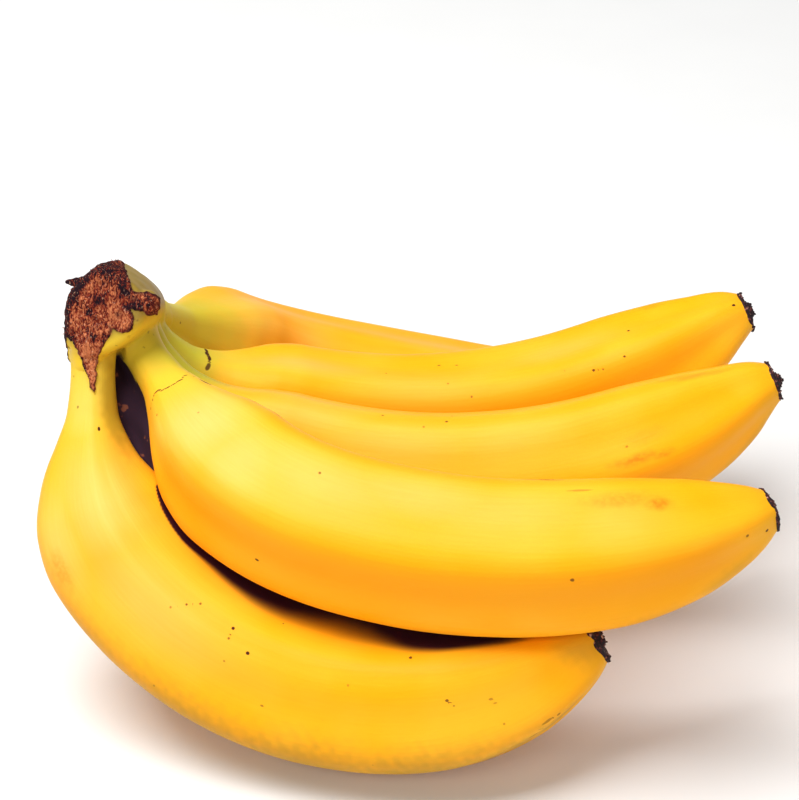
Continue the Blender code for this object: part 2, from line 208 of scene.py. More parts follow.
# How far down the webs between neighbours reach, as a share of the finger's length.
WEB_ENDS = (0.012, 0.055, 0.055, 0.03)
WEB_HALF_THICKNESS = 4.6

# Loose fibres on the dried cut.
FIBRES_PER_SQUARE_METRE = 260000.0
FIBRE_LENGTH = 0.55 * MM

# The dried flap on the front pedicel: where it starts and how long it is in
# millimetres, which way round it lies, and half its width as a turn.
TONGUE_START = -1.5
TONGUE_LENGTH = 14.1
TONGUE_TURN = math.radians(70)
TONGUE_HALF_TURN = math.radians(74)

# The splinter, in millimetres along the crown, across it and up: where it starts and
# which way it points. Its rows are the share of its length and the radius.
SPIKE_START = (-5.0, 7.9, 16.2)
SPIKE_WAY = (0.0, -0.91, 0.41)
SPIKE_LENGTH = 4.2
SPIKE_ROWS = ((-0.9, 1.2), (0.0, 1.05), (0.3, 0.85), (0.6, 0.6), (0.85, 0.4), (1.0, 0.22))
SPIKE_GAIN = 1.1

# The lump at the right end of the cut, in the same axes.
KNOB_MIDDLE = (-3.2, 20.9, 4.6)
KNOB_RADII = (3.6, 2.5, 2.9)

# The sheath, a near-black sheet of painted shade in the gap between the first two pedicels: its
# thickness and how far it bulges to the back in millimetres, and where it starts and ends as a
# share of the finger's length.
SHADE_SHEATH_THICKNESS = 1.1
SHADE_SHEATH_BULGE = 2.5
SHADE_SHEATH_START = 0.004
SHADE_SHEATH_END = 0.205

# The blossom end from the skin outwards: distance past the tip, radius, share of
# points that carry a flake before FLAKE_CHANCE.
BLOSSOM_ROWS = ((-1.0, 5.0, 0.0), (-0.5, 5.3, 0.03), (0.0, 5.35, 0.1), (0.45, 5.1, 0.16),
                (0.6, 4.5, 0.12), (0.35, 3.7, 0.05), (0.3, 2.9, 0.05), (0.8, 2.3, 0.1),
                (1.4, 1.9, 0.12), (1.8, 1.4, 0.12), (2.0, 0.7, 0.1))
BLOSSOM_SECTORS = 56
# The tip radius that those rows were drawn for.
BLOSSOM_TIP_RADIUS = 5.1 * MM
FLAKE_CHANCE = 0.6
FLAKE_SIZE = 0.8 * MM

# The photograph's camera: how far it looks down, where it stands in millimetres in the
# axes of the part's source, and its focal length for a 36 mm long side.
CAMERA_RISE = math.radians(32.15)
CAMERA_AHEAD = np.array([0.0, math.cos(CAMERA_RISE), -math.sin(CAMERA_RISE)])
CAMERA_UP = np.array([0.0, math.sin(CAMERA_RISE), math.cos(CAMERA_RISE)])
CAMERA_SPOT = (0.0, -558.5, 437.5)
CAMERA_LENS = 121.4
CAMERA_SENSOR = 36.0

# A coat of colour whose edge is soft.
SOFT = "SMOOTHSTEP"

# Edge of the dried cut over the crown, seen along the camera's line: millimetres to
# the right of the first finger's root and above it.
DRY_EDGE = ((7.0, 24.0), (7.1, 22.0), (9.5, 18.2), (11.8, 13.9), (14.3, 13.4), (16.1, 12.5),
            (16.2, 11.2), (15.1, 9.9), (13.5, 8.9), (12.0, 9.4), (10.3, 10.3), (11.0, 9.1),
            (11.4, 7.9), (11.6, 5.9), (10.6, 4.3), (8.5, 3.8), (6.2, 4.5), (5.1, 2.8), (4.3, 1.3),
            (2.4, -1.7), (1.7, -4.2), (1.4, -11.4), (0.2, -9.8), (-1.2, -5.8), (-2.3, -2.0),
            (-3.5, 0.2), (-4.2, 2.1), (-4.9, 1.2), (-5.4, 2.6), (-5.9, 1.6), (-6.5, 3.0),
            (-7.1, 2.3), (-7.9, 3.3), (-10.9, 3.3), (-12.2, 12.4), (-7.1, 22.5), (1.7, 26.3))

# The lump at its right end in the same plane: its middle and its radius.
KNOB_SEEN = (15.2, 11.1)
KNOB_SEEN_RADIUS = 2.7

# The same edge where the photograph doesn't show it, in millimetres in the crown's axes:
# how far along it reaches behind, how far below the root it starts there and how much
# that slants, how far across it reaches, where the cut's end face begins and how low that
# goes, and how far along the whole cut reaches.
BACK_REACH = 15.0
BACK_LOW = 1.0
BACK_SLANT = 0.35
BACK_WIDTH = 11.0
END_FACE = -5.0
END_FACE_LOW = 5.0
CUT_REACH = 16.0

# Tones of the dried cut in the plane of its edge: right, up, radius, and how dark (above
# zero) or how pale (below it).
DRY_TONES = ((-6.4, 6.1, 2.0, 0.9), (-6.1, 11.2, 2.4, 1.0), (-4.6, 14.9, 2.4, 1.0),
             (-2.3, 18.0, 2.2, 1.0), (0.4, 20.6, 1.6, 0.8), (5.3, 20.5, 2.3, 0.8),
             (7.6, 18.2, 2.3, 0.6), (9.9, 15.5, 2.2, 0.6), (9.6, 14.0, 1.4, 0.8),
             (2.6, 11.9, 1.5, 0.9), (-0.1, 9.9, 1.1, 0.5), (10.9, 10.2, 1.3, 1.1),
             (12.9, 9.6, 1.6, 1.0), (15.6, 11.4, 1.6, 0.6), (-6.9, 3.7, 1.1, 0.8),
             (-4.2, 2.6, 1.3, 0.9), (1.0, 2.4, 1.0, 0.8), (11.4, 4.6, 1.0, 0.5),
             (6.5, 9.0, 2.4, -0.45), (8.5, 6.4, 2.2, -0.35), (1.7, 18.8, 1.6, -0.4),
             (-3.6, 6.9, 2.0, -0.35), (5.0, 5.1, 1.5, -0.4), (-0.6, -0.6, 2.6, -0.6),
             (0.4, -5.0, 2.6, -0.6), (0.9, -9.5, 2.4, -0.5), (0.5, 14.5, 2.2, -0.25))


def linear(hex_colour):
    """An sRGB hex colour as linear red, green, blue and alpha."""
    parts = [int(hex_colour[i:i + 2], 16) / 255 for i in (1, 3, 5)]
    return tuple(p / 12.92 if p <= 0.04045 else ((p + 0.055) / 1.055) ** 2.4
                 for p in parts) + (1.0,)


# Sizes and colours


def length_setting(name, description, default, most, least=0.0):
    return FloatProperty(name=name, description=description, default=default, min=least, max=most,
                         subtype="DISTANCE", unit="LENGTH")


def colour_setting(name, description, hex_colour):
    return FloatVectorProperty(name=name, description=description, default=linear(hex_colour),
                               size=4, min=0.0, max=1.0, subtype="COLOR")


class BunchSizes(bpy.types.PropertyGroup):
    """Sizes that can be changed before the bunch is grown."""
    rings: IntProperty(
        name="Rings", description="Rings of skin along each finger", default=280, min=40, max=320)
    sectors: IntProperty(
        name="Sectors", description="Points round each finger", default=165, min=25, max=200)
    ripple: length_setting("Ripple", "Height of the slow waves in the skin", 0.45 * MM, 1.5 * MM)
    press_gap: length_setting(
        "Press gap", "Space kept where two fingers press together", 0.35 * MM, 2 * MM)
    crown_grain: length_setting(
        "Crown grain", "Grid size of the crown's skin", 0.42 * MM, 2 * MM, least=0.25 * MM)
    crust: length_setting("Crust", "Thickness of the dried cut over the crown", 0.55 * MM, 2 * MM)
    floor: length_setting("Floor", "Width of the floor", 6.0, 20.0, least=1.0)


class BunchColours(bpy.types.PropertyGroup):
    """Colours of the bunch."""
    ripe: colour_setting("Ripe skin", "Main colour of the ripe skin", "#FAA90A")
    pale: colour_setting("Pale skin", "Paler patches of the ripe skin", "#FBB62C")
    # Colour of the painted highlight on the skins' lit sides.
    painted_highlight: colour_setting("Painted highlight", "Pale colour painted where the lamps light the skin most", "#FCC067")
    # The deep colour also serves as the painted shade under the ridges.
    deep: colour_setting("Deep skin", "Deeper colour along the ridges", "#F39A06")
    green: colour_setting("Neck green", "Green left in the neck and the pedicel", "#BFBC3A")
    bruise: colour_setting("Bruise", "Colour of a bruise under the skin", "#CC7B10")
    speck: colour_setting("Speck", "Colour of specks, scuffs and cracks", "#4A2414")
    fibre: colour_setting("Crown fibre", "Main colour of the crown's dried cut", "#7A2616")
    fibre_light: colour_setting("Crown fibre, light", "Raised strands on the dried cut", "#CE7A4E")
    fibre_dark: colour_setting(
        "Crown fibre, dark", "Hollows and edges of the dried cut", "#1E0A14")
    blossom: colour_setting("Blossom end", "Dried floral remnant at the tip", "#1F0F14")


# The shape of a finger


def spline(table, at):
    """Monotone curve through the table's points."""
    x = np.array([row[0] for row in table])
    y = np.array([row[1] for row in table])
    step = np.diff(x)
    slope = np.diff(y) / step
    tangent = np.zeros(len(x))
    for i in range(1, len(x) - 1):
        if slope[i - 1] * slope[i] > 0:
            w1 = 2 * step[i] + step[i - 1]
            w2 = step[i] + 2 * step[i - 1]
            tangent[i] = (w1 + w2) / (w1 / slope[i - 1] + w2 / slope[i])
    tangent[0], tangent[-1] = slope[0], slope[-1]
    at = np.asarray(at, float)
    i = np.clip(np.searchsorted(x, at, side="right") - 1, 0, len(step) - 1)
    t = (at - x[i]) / step[i]
    return (y[i] * (1 + 2 * t) * (1 - t) ** 2 + tangent[i] * step[i] * t * (1 - t) ** 2
            + y[i + 1] * t * t * (3 - 2 * t) + tangent[i + 1] * step[i] * t * t * (t - 1))


def closed_curve(points, count):
    """Evenly spaced points on a smooth closed curve through the given ones."""
    points = np.array(points)
    at = np.arange(count) * len(points) / count
    i = at.astype(int)
    t = (at - i)[:, None]
    a, b, c, d = (points[(i + k) % len(points)] for k in (-1, 0, 1, 2))
    return b + t * ((c - a) / 2 + t * (a - 2.5 * b + 2 * c - d / 2
                                       + t * (1.5 * (b - c) + (d - a) / 2)))


def ease(x):
    x = np.clip(x, 0.0, 1.0)
    return x * x * (3 - 2 * x)


def unit(v):
    return v / np.linalg.norm(v, axis=-1, keepdims=True)


def even_turns(count):
    return np.arange(count) * 2 * math.pi / count


class Finger:
    """The bent line of one finger, with the two axes of its section at every step."""

    def __init__(self, spec):
        self.spec = spec
        self.name = spec["name"]
        heading, pitch, lean = (math.radians(spec[k]) for k in ("heading", "pitch", "lean"))
        ahead = np.array([math.cos(pitch) * math.cos(heading),
                          math.cos(pitch) * math.sin(heading), math.sin(pitch)])
        upward = unit(np.array([0.0, 0.0, 1.0]) - ahead[2] * ahead)
        sideways = np.cross(ahead, upward)
        inward = math.cos(lean) * upward + math.sin(lean) * sideways
        across = np.cross(ahead, inward)

        self.length = spec["length"] * MM
        self.place = np.linspace(0.0, 1.0, LINE_STEPS + 1)
        neck, body, droop = (math.radians(angle) for angle in (
            spec["neck"], spec["body"], TIP_DROOP.get(self.name, 0.0)))
        bend = (neck * ease((self.place - spec["neck_at"]) / NECK_SPAN + 0.5)
                + body * np.clip((self.place - BODY_START) / (1 - BODY_START), 0, 1))
        bend -= droop * ease((self.place - (1 - DROOP_SPAN)) / DROOP_SPAN)
        sway = math.radians(spec["sway"]) * ease((self.place - SWAY_START) / SWAY_SPAN)
        self.ahead = ((np.cos(bend) * np.cos(sway))[:, None] * ahead
                      + (np.sin(bend) * np.cos(sway))[:, None] * inward
                      + np.sin(sway)[:, None] * across)
        steps = (self.ahead[1:] + self.ahead[:-1]) / 2 * self.length / LINE_STEPS
        self.line = np.array(spec["root"]) * MM + np.vstack([np.zeros(3), np.cumsum(steps, axis=0)])
        self.across = unit(across - (self.ahead @ across)[:, None] * self.ahead)
        self.inward = np.cross(self.across, self.ahead)
        self.radius = spline(GIRTH_PROFILE, self.place) * spec["girth"] * GIRTH_GAIN * MM
        self.flat = spline(FLAT_PROFILE, self.place)
        self.ridge = math.radians(spec["ridge"])

    def at(self, place, values):
        if values.ndim == 1:
            return np.interp(place, self.place, values)
        return np.stack([np.interp(place, self.place, values[:, i]) for i in range(3)], axis=-1)

    def reach(self, place, angle):
        """Distance from the line to the skin, before any pressing."""
        lobes = (1 - np.cos(5 * (angle - self.ridge))) / 2
        return self.at(place, self.radius) * (1 - self.at(place, self.flat) * lobes)

    def direction(self, place, angle):
        inward, across = self.at(place, self.inward), self.at(place, self.across)
        return np.cos(angle)[..., None] * inward + np.sin(angle)[..., None] * across

    def depth_share(self, points):
        """How far out of this finger each point lies: 1 on its skin, more outside."""
        nearest = np.empty(len(points), int)
        at_once = 20000
        for start in range(0, len(points), at_once):
            block = points[start:start + at_once]
            gap = ((block ** 2).sum(axis=1)[:, None] - 2 * block @ self.line.T
                   + (self.line ** 2).sum(axis=1)[None])
            nearest[start:start + at_once] = np.argmin(gap, axis=1)
        offset = points - self.line[nearest]
        angle = np.arctan2((offset * self.across[nearest]).sum(axis=1),
                           (offset * self.inward[nearest]).sum(axis=1))
        reach = self.reach(self.place[nearest], angle)
        return np.linalg.norm(offset, axis=1) / reach, reach


def press(others, centres, directions, reaches, gap):
    """Pull the skin in where a neighbour presses on it, to the flank they share."""
    def clear(which, share):
        points = centres[which] + directions[which] * (share * reaches[which])[:, None]
        good = np.ones(len(points), bool)
        for other in others:
            depth, reach = other.depth_share(points)
            good &= depth >= share + gap / reach
        return good

    everything = np.arange(len(reaches))
    held = everything[~clear(everything, np.ones(len(reaches)))]
    low, high = np.full(len(held), DEEPEST_PRESS), np.ones(len(held))
    halvings = 12
    for _ in range(halvings):
        middle = (low + high) / 2
        good = clear(held, middle)
        low = np.where(good, middle, low)
        high = np.where(good, high, middle)
    pressed = reaches.copy()
    pressed[held] *= low
    return pressed


def blossom_corner(finger):
    """Lowest corner of the finger's blossom end as the part's source has it."""
    profile = ((0.35, 4.3), (0.9, 4.6), (1.5, 3.9), (2.0, 2.4), (2.9, 2.1), (3.7, 1.5))
    lobe_height = 0.07
    points = []
    for a in even_turns(15):
        lobe = 1 + lobe_height * math.cos(5 * (a - finger.ridge))
        way = math.cos(a) * finger.inward[-1] + math.sin(a) * finger.across[-1]
        points += [finger.line[-1] + (far * finger.ahead[-1] + radius * lobe * way) * MM
                   for far, radius in profile]
    return np.min(points, axis=0)


def make_fingers():
    """The five finger lines, moved to where the CAD model has them."""
    fingers = [Finger(spec) for spec in FINGERS]
    shift = np.array(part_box("blossom_end_1")[0]) - blossom_corner(fingers[0])
    for finger in fingers:
        finger.line = finger.line + shift
    return fingers, shift


# Building blocks


def add_node(tree, kind, inputs=None, **settings):
    """Adds a node with its settings.

    inputs maps a socket's name or place to a value, or to the socket that feeds it.
    """
    made = tree.nodes.new(kind)
    columns, wide, tall = 12, 220, 260
    made.location = (wide * (len(tree.nodes) % columns), -tall * (len(tree.nodes) // columns))
    for key, value in settings.items():
        setattr(made, key, value)
    for key, value in (inputs or {}).items():
        if isinstance(value, bpy.types.NodeSocket):
            tree.links.new(value, made.inputs[key])
        else:
            made.inputs[key].default_value = value
    return made


def link_object(name, data):
    thing = bpy.data.objects.new(name, data)
    bpy.context.scene.collection.objects.link(thing)
    return thing


def mesh_from(name, points, edges=(), faces=()):
    mesh = bpy.data.meshes.new(name)
    mesh.from_pydata([tuple(point) for point in points], [tuple(edge) for edge in edges],
                     [tuple(face) for face in faces])
    return mesh


def put_values(mesh, name, values):
    """Stores one float or one vector on every point of the mesh."""
    kind = "FLOAT" if np.ndim(values) == 1 else "FLOAT_VECTOR"
    layer = mesh.attributes.get(name) or mesh.attributes.new(name, kind, "POINT")
    layer.data.foreach_set("value" if kind == "FLOAT" else "vector",
                           np.ascontiguousarray(values, np.float32).ravel())


def read_values(mesh, name, width=1):
    layer = mesh.attributes[name]
    values = np.empty(len(layer.data) * width, np.float32)
    layer.data.foreach_get("value" if width == 1 else "vector", values)
    return values.astype(float) if width == 1 else values.reshape(-1, width).astype(float)


def read_points(mesh):
    points = np.empty(len(mesh.vertices) * 3, np.float32)
    mesh.vertices.foreach_get("co", points)
    return points.reshape(-1, 3).astype(float)


def read_normals(mesh):
    normals = np.empty(len(mesh.vertices) * 3, np.float32)
    mesh.vertices.foreach_get("normal", normals)
    return normals.reshape(-1, 3).astype(float)


def write_points(mesh, points):
    mesh.vertices.foreach_set("co", np.ascontiguousarray(points, np.float32).ravel())
    mesh.update()


def settle_modifiers(thing):
    """Turns an object with modifiers into a plain mesh and returns it."""
    bpy.context.view_layer.update()
    depsgraph = bpy.context.evaluated_depsgraph_get()
    plain = bpy.data.meshes.new_from_object(thing.evaluated_get(depsgraph), depsgraph=depsgraph)
    thing.modifiers.clear()
    old = thing.data
    thing.data = plain
    plain.name = thing.name
    if old.users == 0:
        bpy.data.meshes.remove(old)
    return plain


def grow(thing, tree, values):
    """Runs a Geometry Nodes tree on the object with its named inputs set."""
    modifier = thing.modifiers.new(tree.name, "NODES")
    modifier.node_group = tree
    for item in tree.interface.items_tree:
        if item.item_type == "SOCKET" and item.in_out == "INPUT" and item.name in values:
            modifier[item.identifier] = values[item.name]
    return settle_modifiers(thing)


def turn_outwards(mesh):
    bm = bmesh.new()
    bm.from_mesh(mesh)
    bmesh.ops.recalc_face_normals(bm, faces=bm.faces)
    bm.to_mesh(mesh)
    bm.free()


def finish_piece(thing, nodes, angle=50):
    """Smooth shading, and the piece's place in the frame."""
    thing.data.shade_smooth()
    thing.data.set_sharp_from_angle(angle=math.radians(angle))
    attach(thing, "root")
    if nodes:
        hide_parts(*nodes)


def ripple_noise(points, size, seed):
    """Smooth noise from -1 to 1 on points, with bumps about that size across."""
    rng = np.random.default_rng(seed)
    total = np.zeros(len(points))
    waves, gain = 14, 2.2
    for _ in range(waves):
        wave = rng.normal(size=3)
        wave *= (0.7 + 0.6 * rng.random()) * math.pi / size / np.linalg.norm(wave)
        total += np.sin(points @ wave + rng.random() * 2 * math.pi)
    return total / waves * gain


def start_tree(name, inputs, output):
    """A Geometry Nodes tree with these named inputs and one output, and its inputs' sockets."""
    tree = bpy.data.node_groups.new(name, "GeometryNodeTree")
    for label, kind in inputs:
        tree.interface.new_socket(name=label, in_out="INPUT", socket_type="NodeSocket" + kind)
    tree.interface.new_socket(name=output, in_out="OUTPUT", socket_type="NodeSocketGeometry")
    return tree, add_node(tree, "NodeGroupInput").outputs


def end_tree(tree, shape, material):
    """Ends a tree in plain geometry with its material."""
    real = add_node(tree, "GeometryNodeRealizeInstances", {0: shape}).outputs[0]
    real = add_node(tree, "GeometryNodeSetMaterial", {
        "Geometry": real, "Material": material}).outputs[0]
    add_node(tree, "NodeGroupOutput", {0: real})
    return tree


def strew(tree, what, facing, lean, sizes, size_seed, size, seed):
    """Stands copies of a piece on points, each one leaning, turned and sized at random."""
    whole_turn = 6.28
    lean = add_node(tree, "FunctionNodeRandomValue", {
        0: (-lean, -lean, 0.0), 1: (lean, lean, whole_turn), "Seed": seed},
        data_type="FLOAT_VECTOR").outputs[0]
    turned = add_node(tree, "FunctionNodeRotateRotation", {0: facing, 1: lean},
                      rotation_space="LOCAL").outputs[0]
    share = add_node(tree, "FunctionNodeRandomValue", {2: sizes[0], 3: sizes[1], "Seed": size_seed},
                     data_type="FLOAT").outputs[1]
    scale = add_node(tree, "ShaderNodeMath", {0: share, 1: size}, operation="MULTIPLY").outputs[0]
    return add_node(tree, "GeometryNodeInstanceOnPoints", {
        **what, "Rotation": turned, "Scale": scale}).outputs[0]


# Materials


def new_material(name):
    """An empty material and its node tree, in place of any old one of that name."""
    old = bpy.data.materials.get(name)
    if old:
        bpy.data.materials.remove(old)
    made = bpy.data.materials.new(name)
    made.use_nodes = True
    made.node_tree.nodes.clear()
    return made, made.node_tree


def read_layers(tree, *names):
    """The values that the mesh carries under these names, as sockets by name."""
    return {name: add_node(tree, "ShaderNodeAttribute", attribute_name=name).outputs["Fac"]
            for name in names}


def lay_coats(tree, colour, coats):
    """Lays coats of colour over a colour, one after another.

    Each coat has what drives it, where that starts to show and where it shows in full,
    the most that it covers, its colour, and SOFT where it comes in with a soft edge.
    """
    for drive, start, full, most, paint, *edge in coats:
        share = add_node(tree, "ShaderNodeMapRange", {0: drive, 1: start, 2: full, 3: 0.0, 4: most},
                         interpolation_type=edge[0] if edge else "LINEAR").outputs[0]
        colour = add_node(tree, "ShaderNodeMix", {0: share, 6: colour, 7: paint},
                          data_type="RGBA").outputs[2]
    return colour


def peel_material():
    """Ripe banana peel: a thin waxy cuticle over soft yellow skin.

    The wax gives it a broad, soft shine. The skin lets some light in, which warms
    its shaded side. Strands run along it, and it greens towards the neck.
    """
    paint = bpy.context.scene.bunch_colours
    made, tree = new_material("ripe_banana_peel_waxy")
    where = add_node(tree, "ShaderNodeTexCoord").outputs["Object"]
    layer = read_layers(tree, "place", "ridge", "shade_side", "bruise", "painted_highlight", "painted_shade", "flank",
                        "greened", "green_at", "crevice_shade", "mark_dark")

    # Slow patches of paler and deeper yellow, about 30 mm across.
    patches = add_node(tree, "ShaderNodeTexNoise", {
        "Vector": where, "Scale": 33.0, "Detail": 2.0}).outputs["Fac"]
    # Fine strands 0.8 mm wide and some 15 mm long, along the finger.
    run = add_node(tree, "ShaderNodeUVMap", uv_map="skin").outputs["UV"]
    run = add_node(tree, "ShaderNodeMapping", {
        "Vector": run, "Scale": (70.0, 1300.0, 1.0)}).outputs[0]
    strand = add_node(tree, "ShaderNodeTexNoise", {
        "Vector": run, "Scale": 1.0, "Detail": 3.0}).outputs["Fac"]
    # The green ends in blotches some 8 mm across, further down on the side turned to the bunch.
    blotch = add_node(tree, "ShaderNodeTexNoise", {
        "Vector": where, "Scale": 120.0, "Detail": 3.0}).outputs["Fac"]
    greening = add_node(tree, "ShaderNodeMath", {0: blotch, 1: -0.06, 2: layer["green_at"]},
                        operation="MULTIPLY_ADD").outputs[0]
    greening = add_node(tree, "ShaderNodeMath", {0: layer["shade_side"], 1: -0.055, 2: greening},
                        operation="MULTIPLY_ADD").outputs[0]
    # Bruises are broken up by 1 mm blotches.
    spots = add_node(tree, "ShaderNodeTexNoise", {
        "Vector": where, "Scale": 900.0, "Detail": 4.0}).outputs["Fac"]
    broken = add_node(tree, "ShaderNodeMapRange", {
        0: spots, 1: 0.32, 2: 0.62, 3: 0.45, 4: 1.0}).outputs[0]
    bruised = add_node(tree, "ShaderNodeMath", {0: layer["bruise"], 1: broken},
                       operation="MULTIPLY", use_clamp=True).outputs[0]
    # The painted shade in the crevice where two fingers press together is broken at its edge.
    crevice_shaded = add_node(tree, "ShaderNodeMath", {0: patches, 1: 0.5, 2: -0.25},
                      operation="MULTIPLY_ADD").outputs[0]
    crevice_shaded = add_node(tree, "ShaderNodeMath", {0: layer["crevice_shade"], 1: crevice_shaded},
                      operation="ADD").outputs[0]
    # Stray specks, about 0.6 mm across and a centimetre or more apart.
    cells = add_node(tree, "ShaderNodeTexVoronoi", {"Vector": where, "Scale": 95.0})
    near = add_node(tree, "ShaderNodeMapRange", {
        0: cells.outputs["Distance"], 1: 0.022, 2: 0.04, 3: 0.45, 4: 0.0}).outputs[0]
    chosen = add_node(tree, "ShaderNodeSeparateColor", {0: cells.outputs["Color"]}).outputs[0]
    few = add_node(tree, "ShaderNodeMath", {0: chosen, 1: 0.72},
                   operation="GREATER_THAN").outputs[0]
    stray = add_node(tree, "ShaderNodeMath", {0: near, 1: few}, operation="MULTIPLY").outputs[0]
    # The placed marks, with an edge that wanders by about a fifth of their size.
    way = add_node(tree, "ShaderNodeAttribute", attribute_name="mark_way").outputs["Vector"]
    far = add_node(tree, "ShaderNodeVectorMath", {0: way}, operation="LENGTH").outputs["Value"]
    far = add_node(tree, "ShaderNodeMath", {0: spots, 1: -0.9, 2: far},
                   operation="MULTIPLY_ADD").outputs[0]
    inside = add_node(tree, "ShaderNodeMapRange", {
        0: far, 1: 0.75, 2: 0.35, 3: 0.0, 4: 1.0}).outputs[0]
    marked = add_node(tree, "ShaderNodeMath", {0: inside, 1: layer["mark_dark"]},
                      operation="MULTIPLY", use_clamp=True).outputs[0]
    marked = add_node(tree, "ShaderNodeMath", {0: marked, 1: stray}, operation="MAXIMUM").outputs[0]

    skin = lay_coats(tree, paint.ripe, (
        (patches, 0.4, 0.66, 0.65, paint.pale),
        # Painted highlight: a pale colour laid where the lamps light the skin most.
        (layer["painted_highlight"], 0.0, 1.0, 1.0, paint.painted_highlight),
        # Ridges hold a deeper yellow in a band 3 or 4 mm wide.
        (layer["ridge"], 0.90, 1.0, 0.30, paint.deep),
        # Painted shade: under a ridge the skin turns deeper, from a fairly sharp line.
        (layer["flank"], 0.0, 1.0, 1.0, paint.deep),
        (strand, 0.35, 0.7, 0.16, paint.deep),
        (greening, 0.12, -0.01, layer["greened"], paint.green, SOFT),
        # The tip is duller.
        (layer["place"], 0.93, 1.0, 0.35, linear("#E0A81E"), SOFT),
        # Painted shade: olive on the undersides and on the shaded sides.
        (layer["painted_shade"], 0.0, 1.0, 1.0, linear("#9C7C22")),
        (bruised, 0.0, 1.0, 1.0, paint.bruise),
        # Painted shade, dark purple, in the crevices where the fingers touch.
        (crevice_shaded, 0.2, 0.85, 1.0, linear("#33121E"), SOFT),
        (marked, 0.0, 1.0, 1.0, paint.speck)))

    # Relief: strands, pores about 0.5 mm apart, and dents at the marks.
    pores = add_node(tree, "ShaderNodeTexNoise", {
        "Vector": where, "Scale": 1800.0, "Detail": 2.0}).outputs["Fac"]
    relief = add_node(tree, "ShaderNodeMath", {0: pores, 1: 0.35, 2: strand},
                      operation="MULTIPLY_ADD").outputs[0]
    relief = add_node(tree, "ShaderNodeMath", {0: marked, 1: -1.6, 2: relief},
                      operation="MULTIPLY_ADD").outputs[0]
    bump = add_node(tree, "ShaderNodeBump", {
        "Height": relief, "Distance": 0.09 * MM, "Strength": 0.6}).outputs[0]
    gloss = add_node(tree, "ShaderNodeMapRange", {
        0: marked, 1: 0.0, 2: 1.0, 3: 0.45, 4: 0.8}).outputs[0]
    shader = add_node(tree, "ShaderNodeBsdfPrincipled", {
        "Base Color": skin, "Roughness": gloss, "Normal": bump, "IOR": 1.42,
        "Specular IOR Level": 0.14, "Subsurface Weight": 0.12,
        "Subsurface Radius": (1.0, 0.45, 0.08), "Subsurface Scale": 3 * MM})
    add_node(tree, "ShaderNodeOutputMaterial", {"Surface": shader.outputs[0]})
    return made


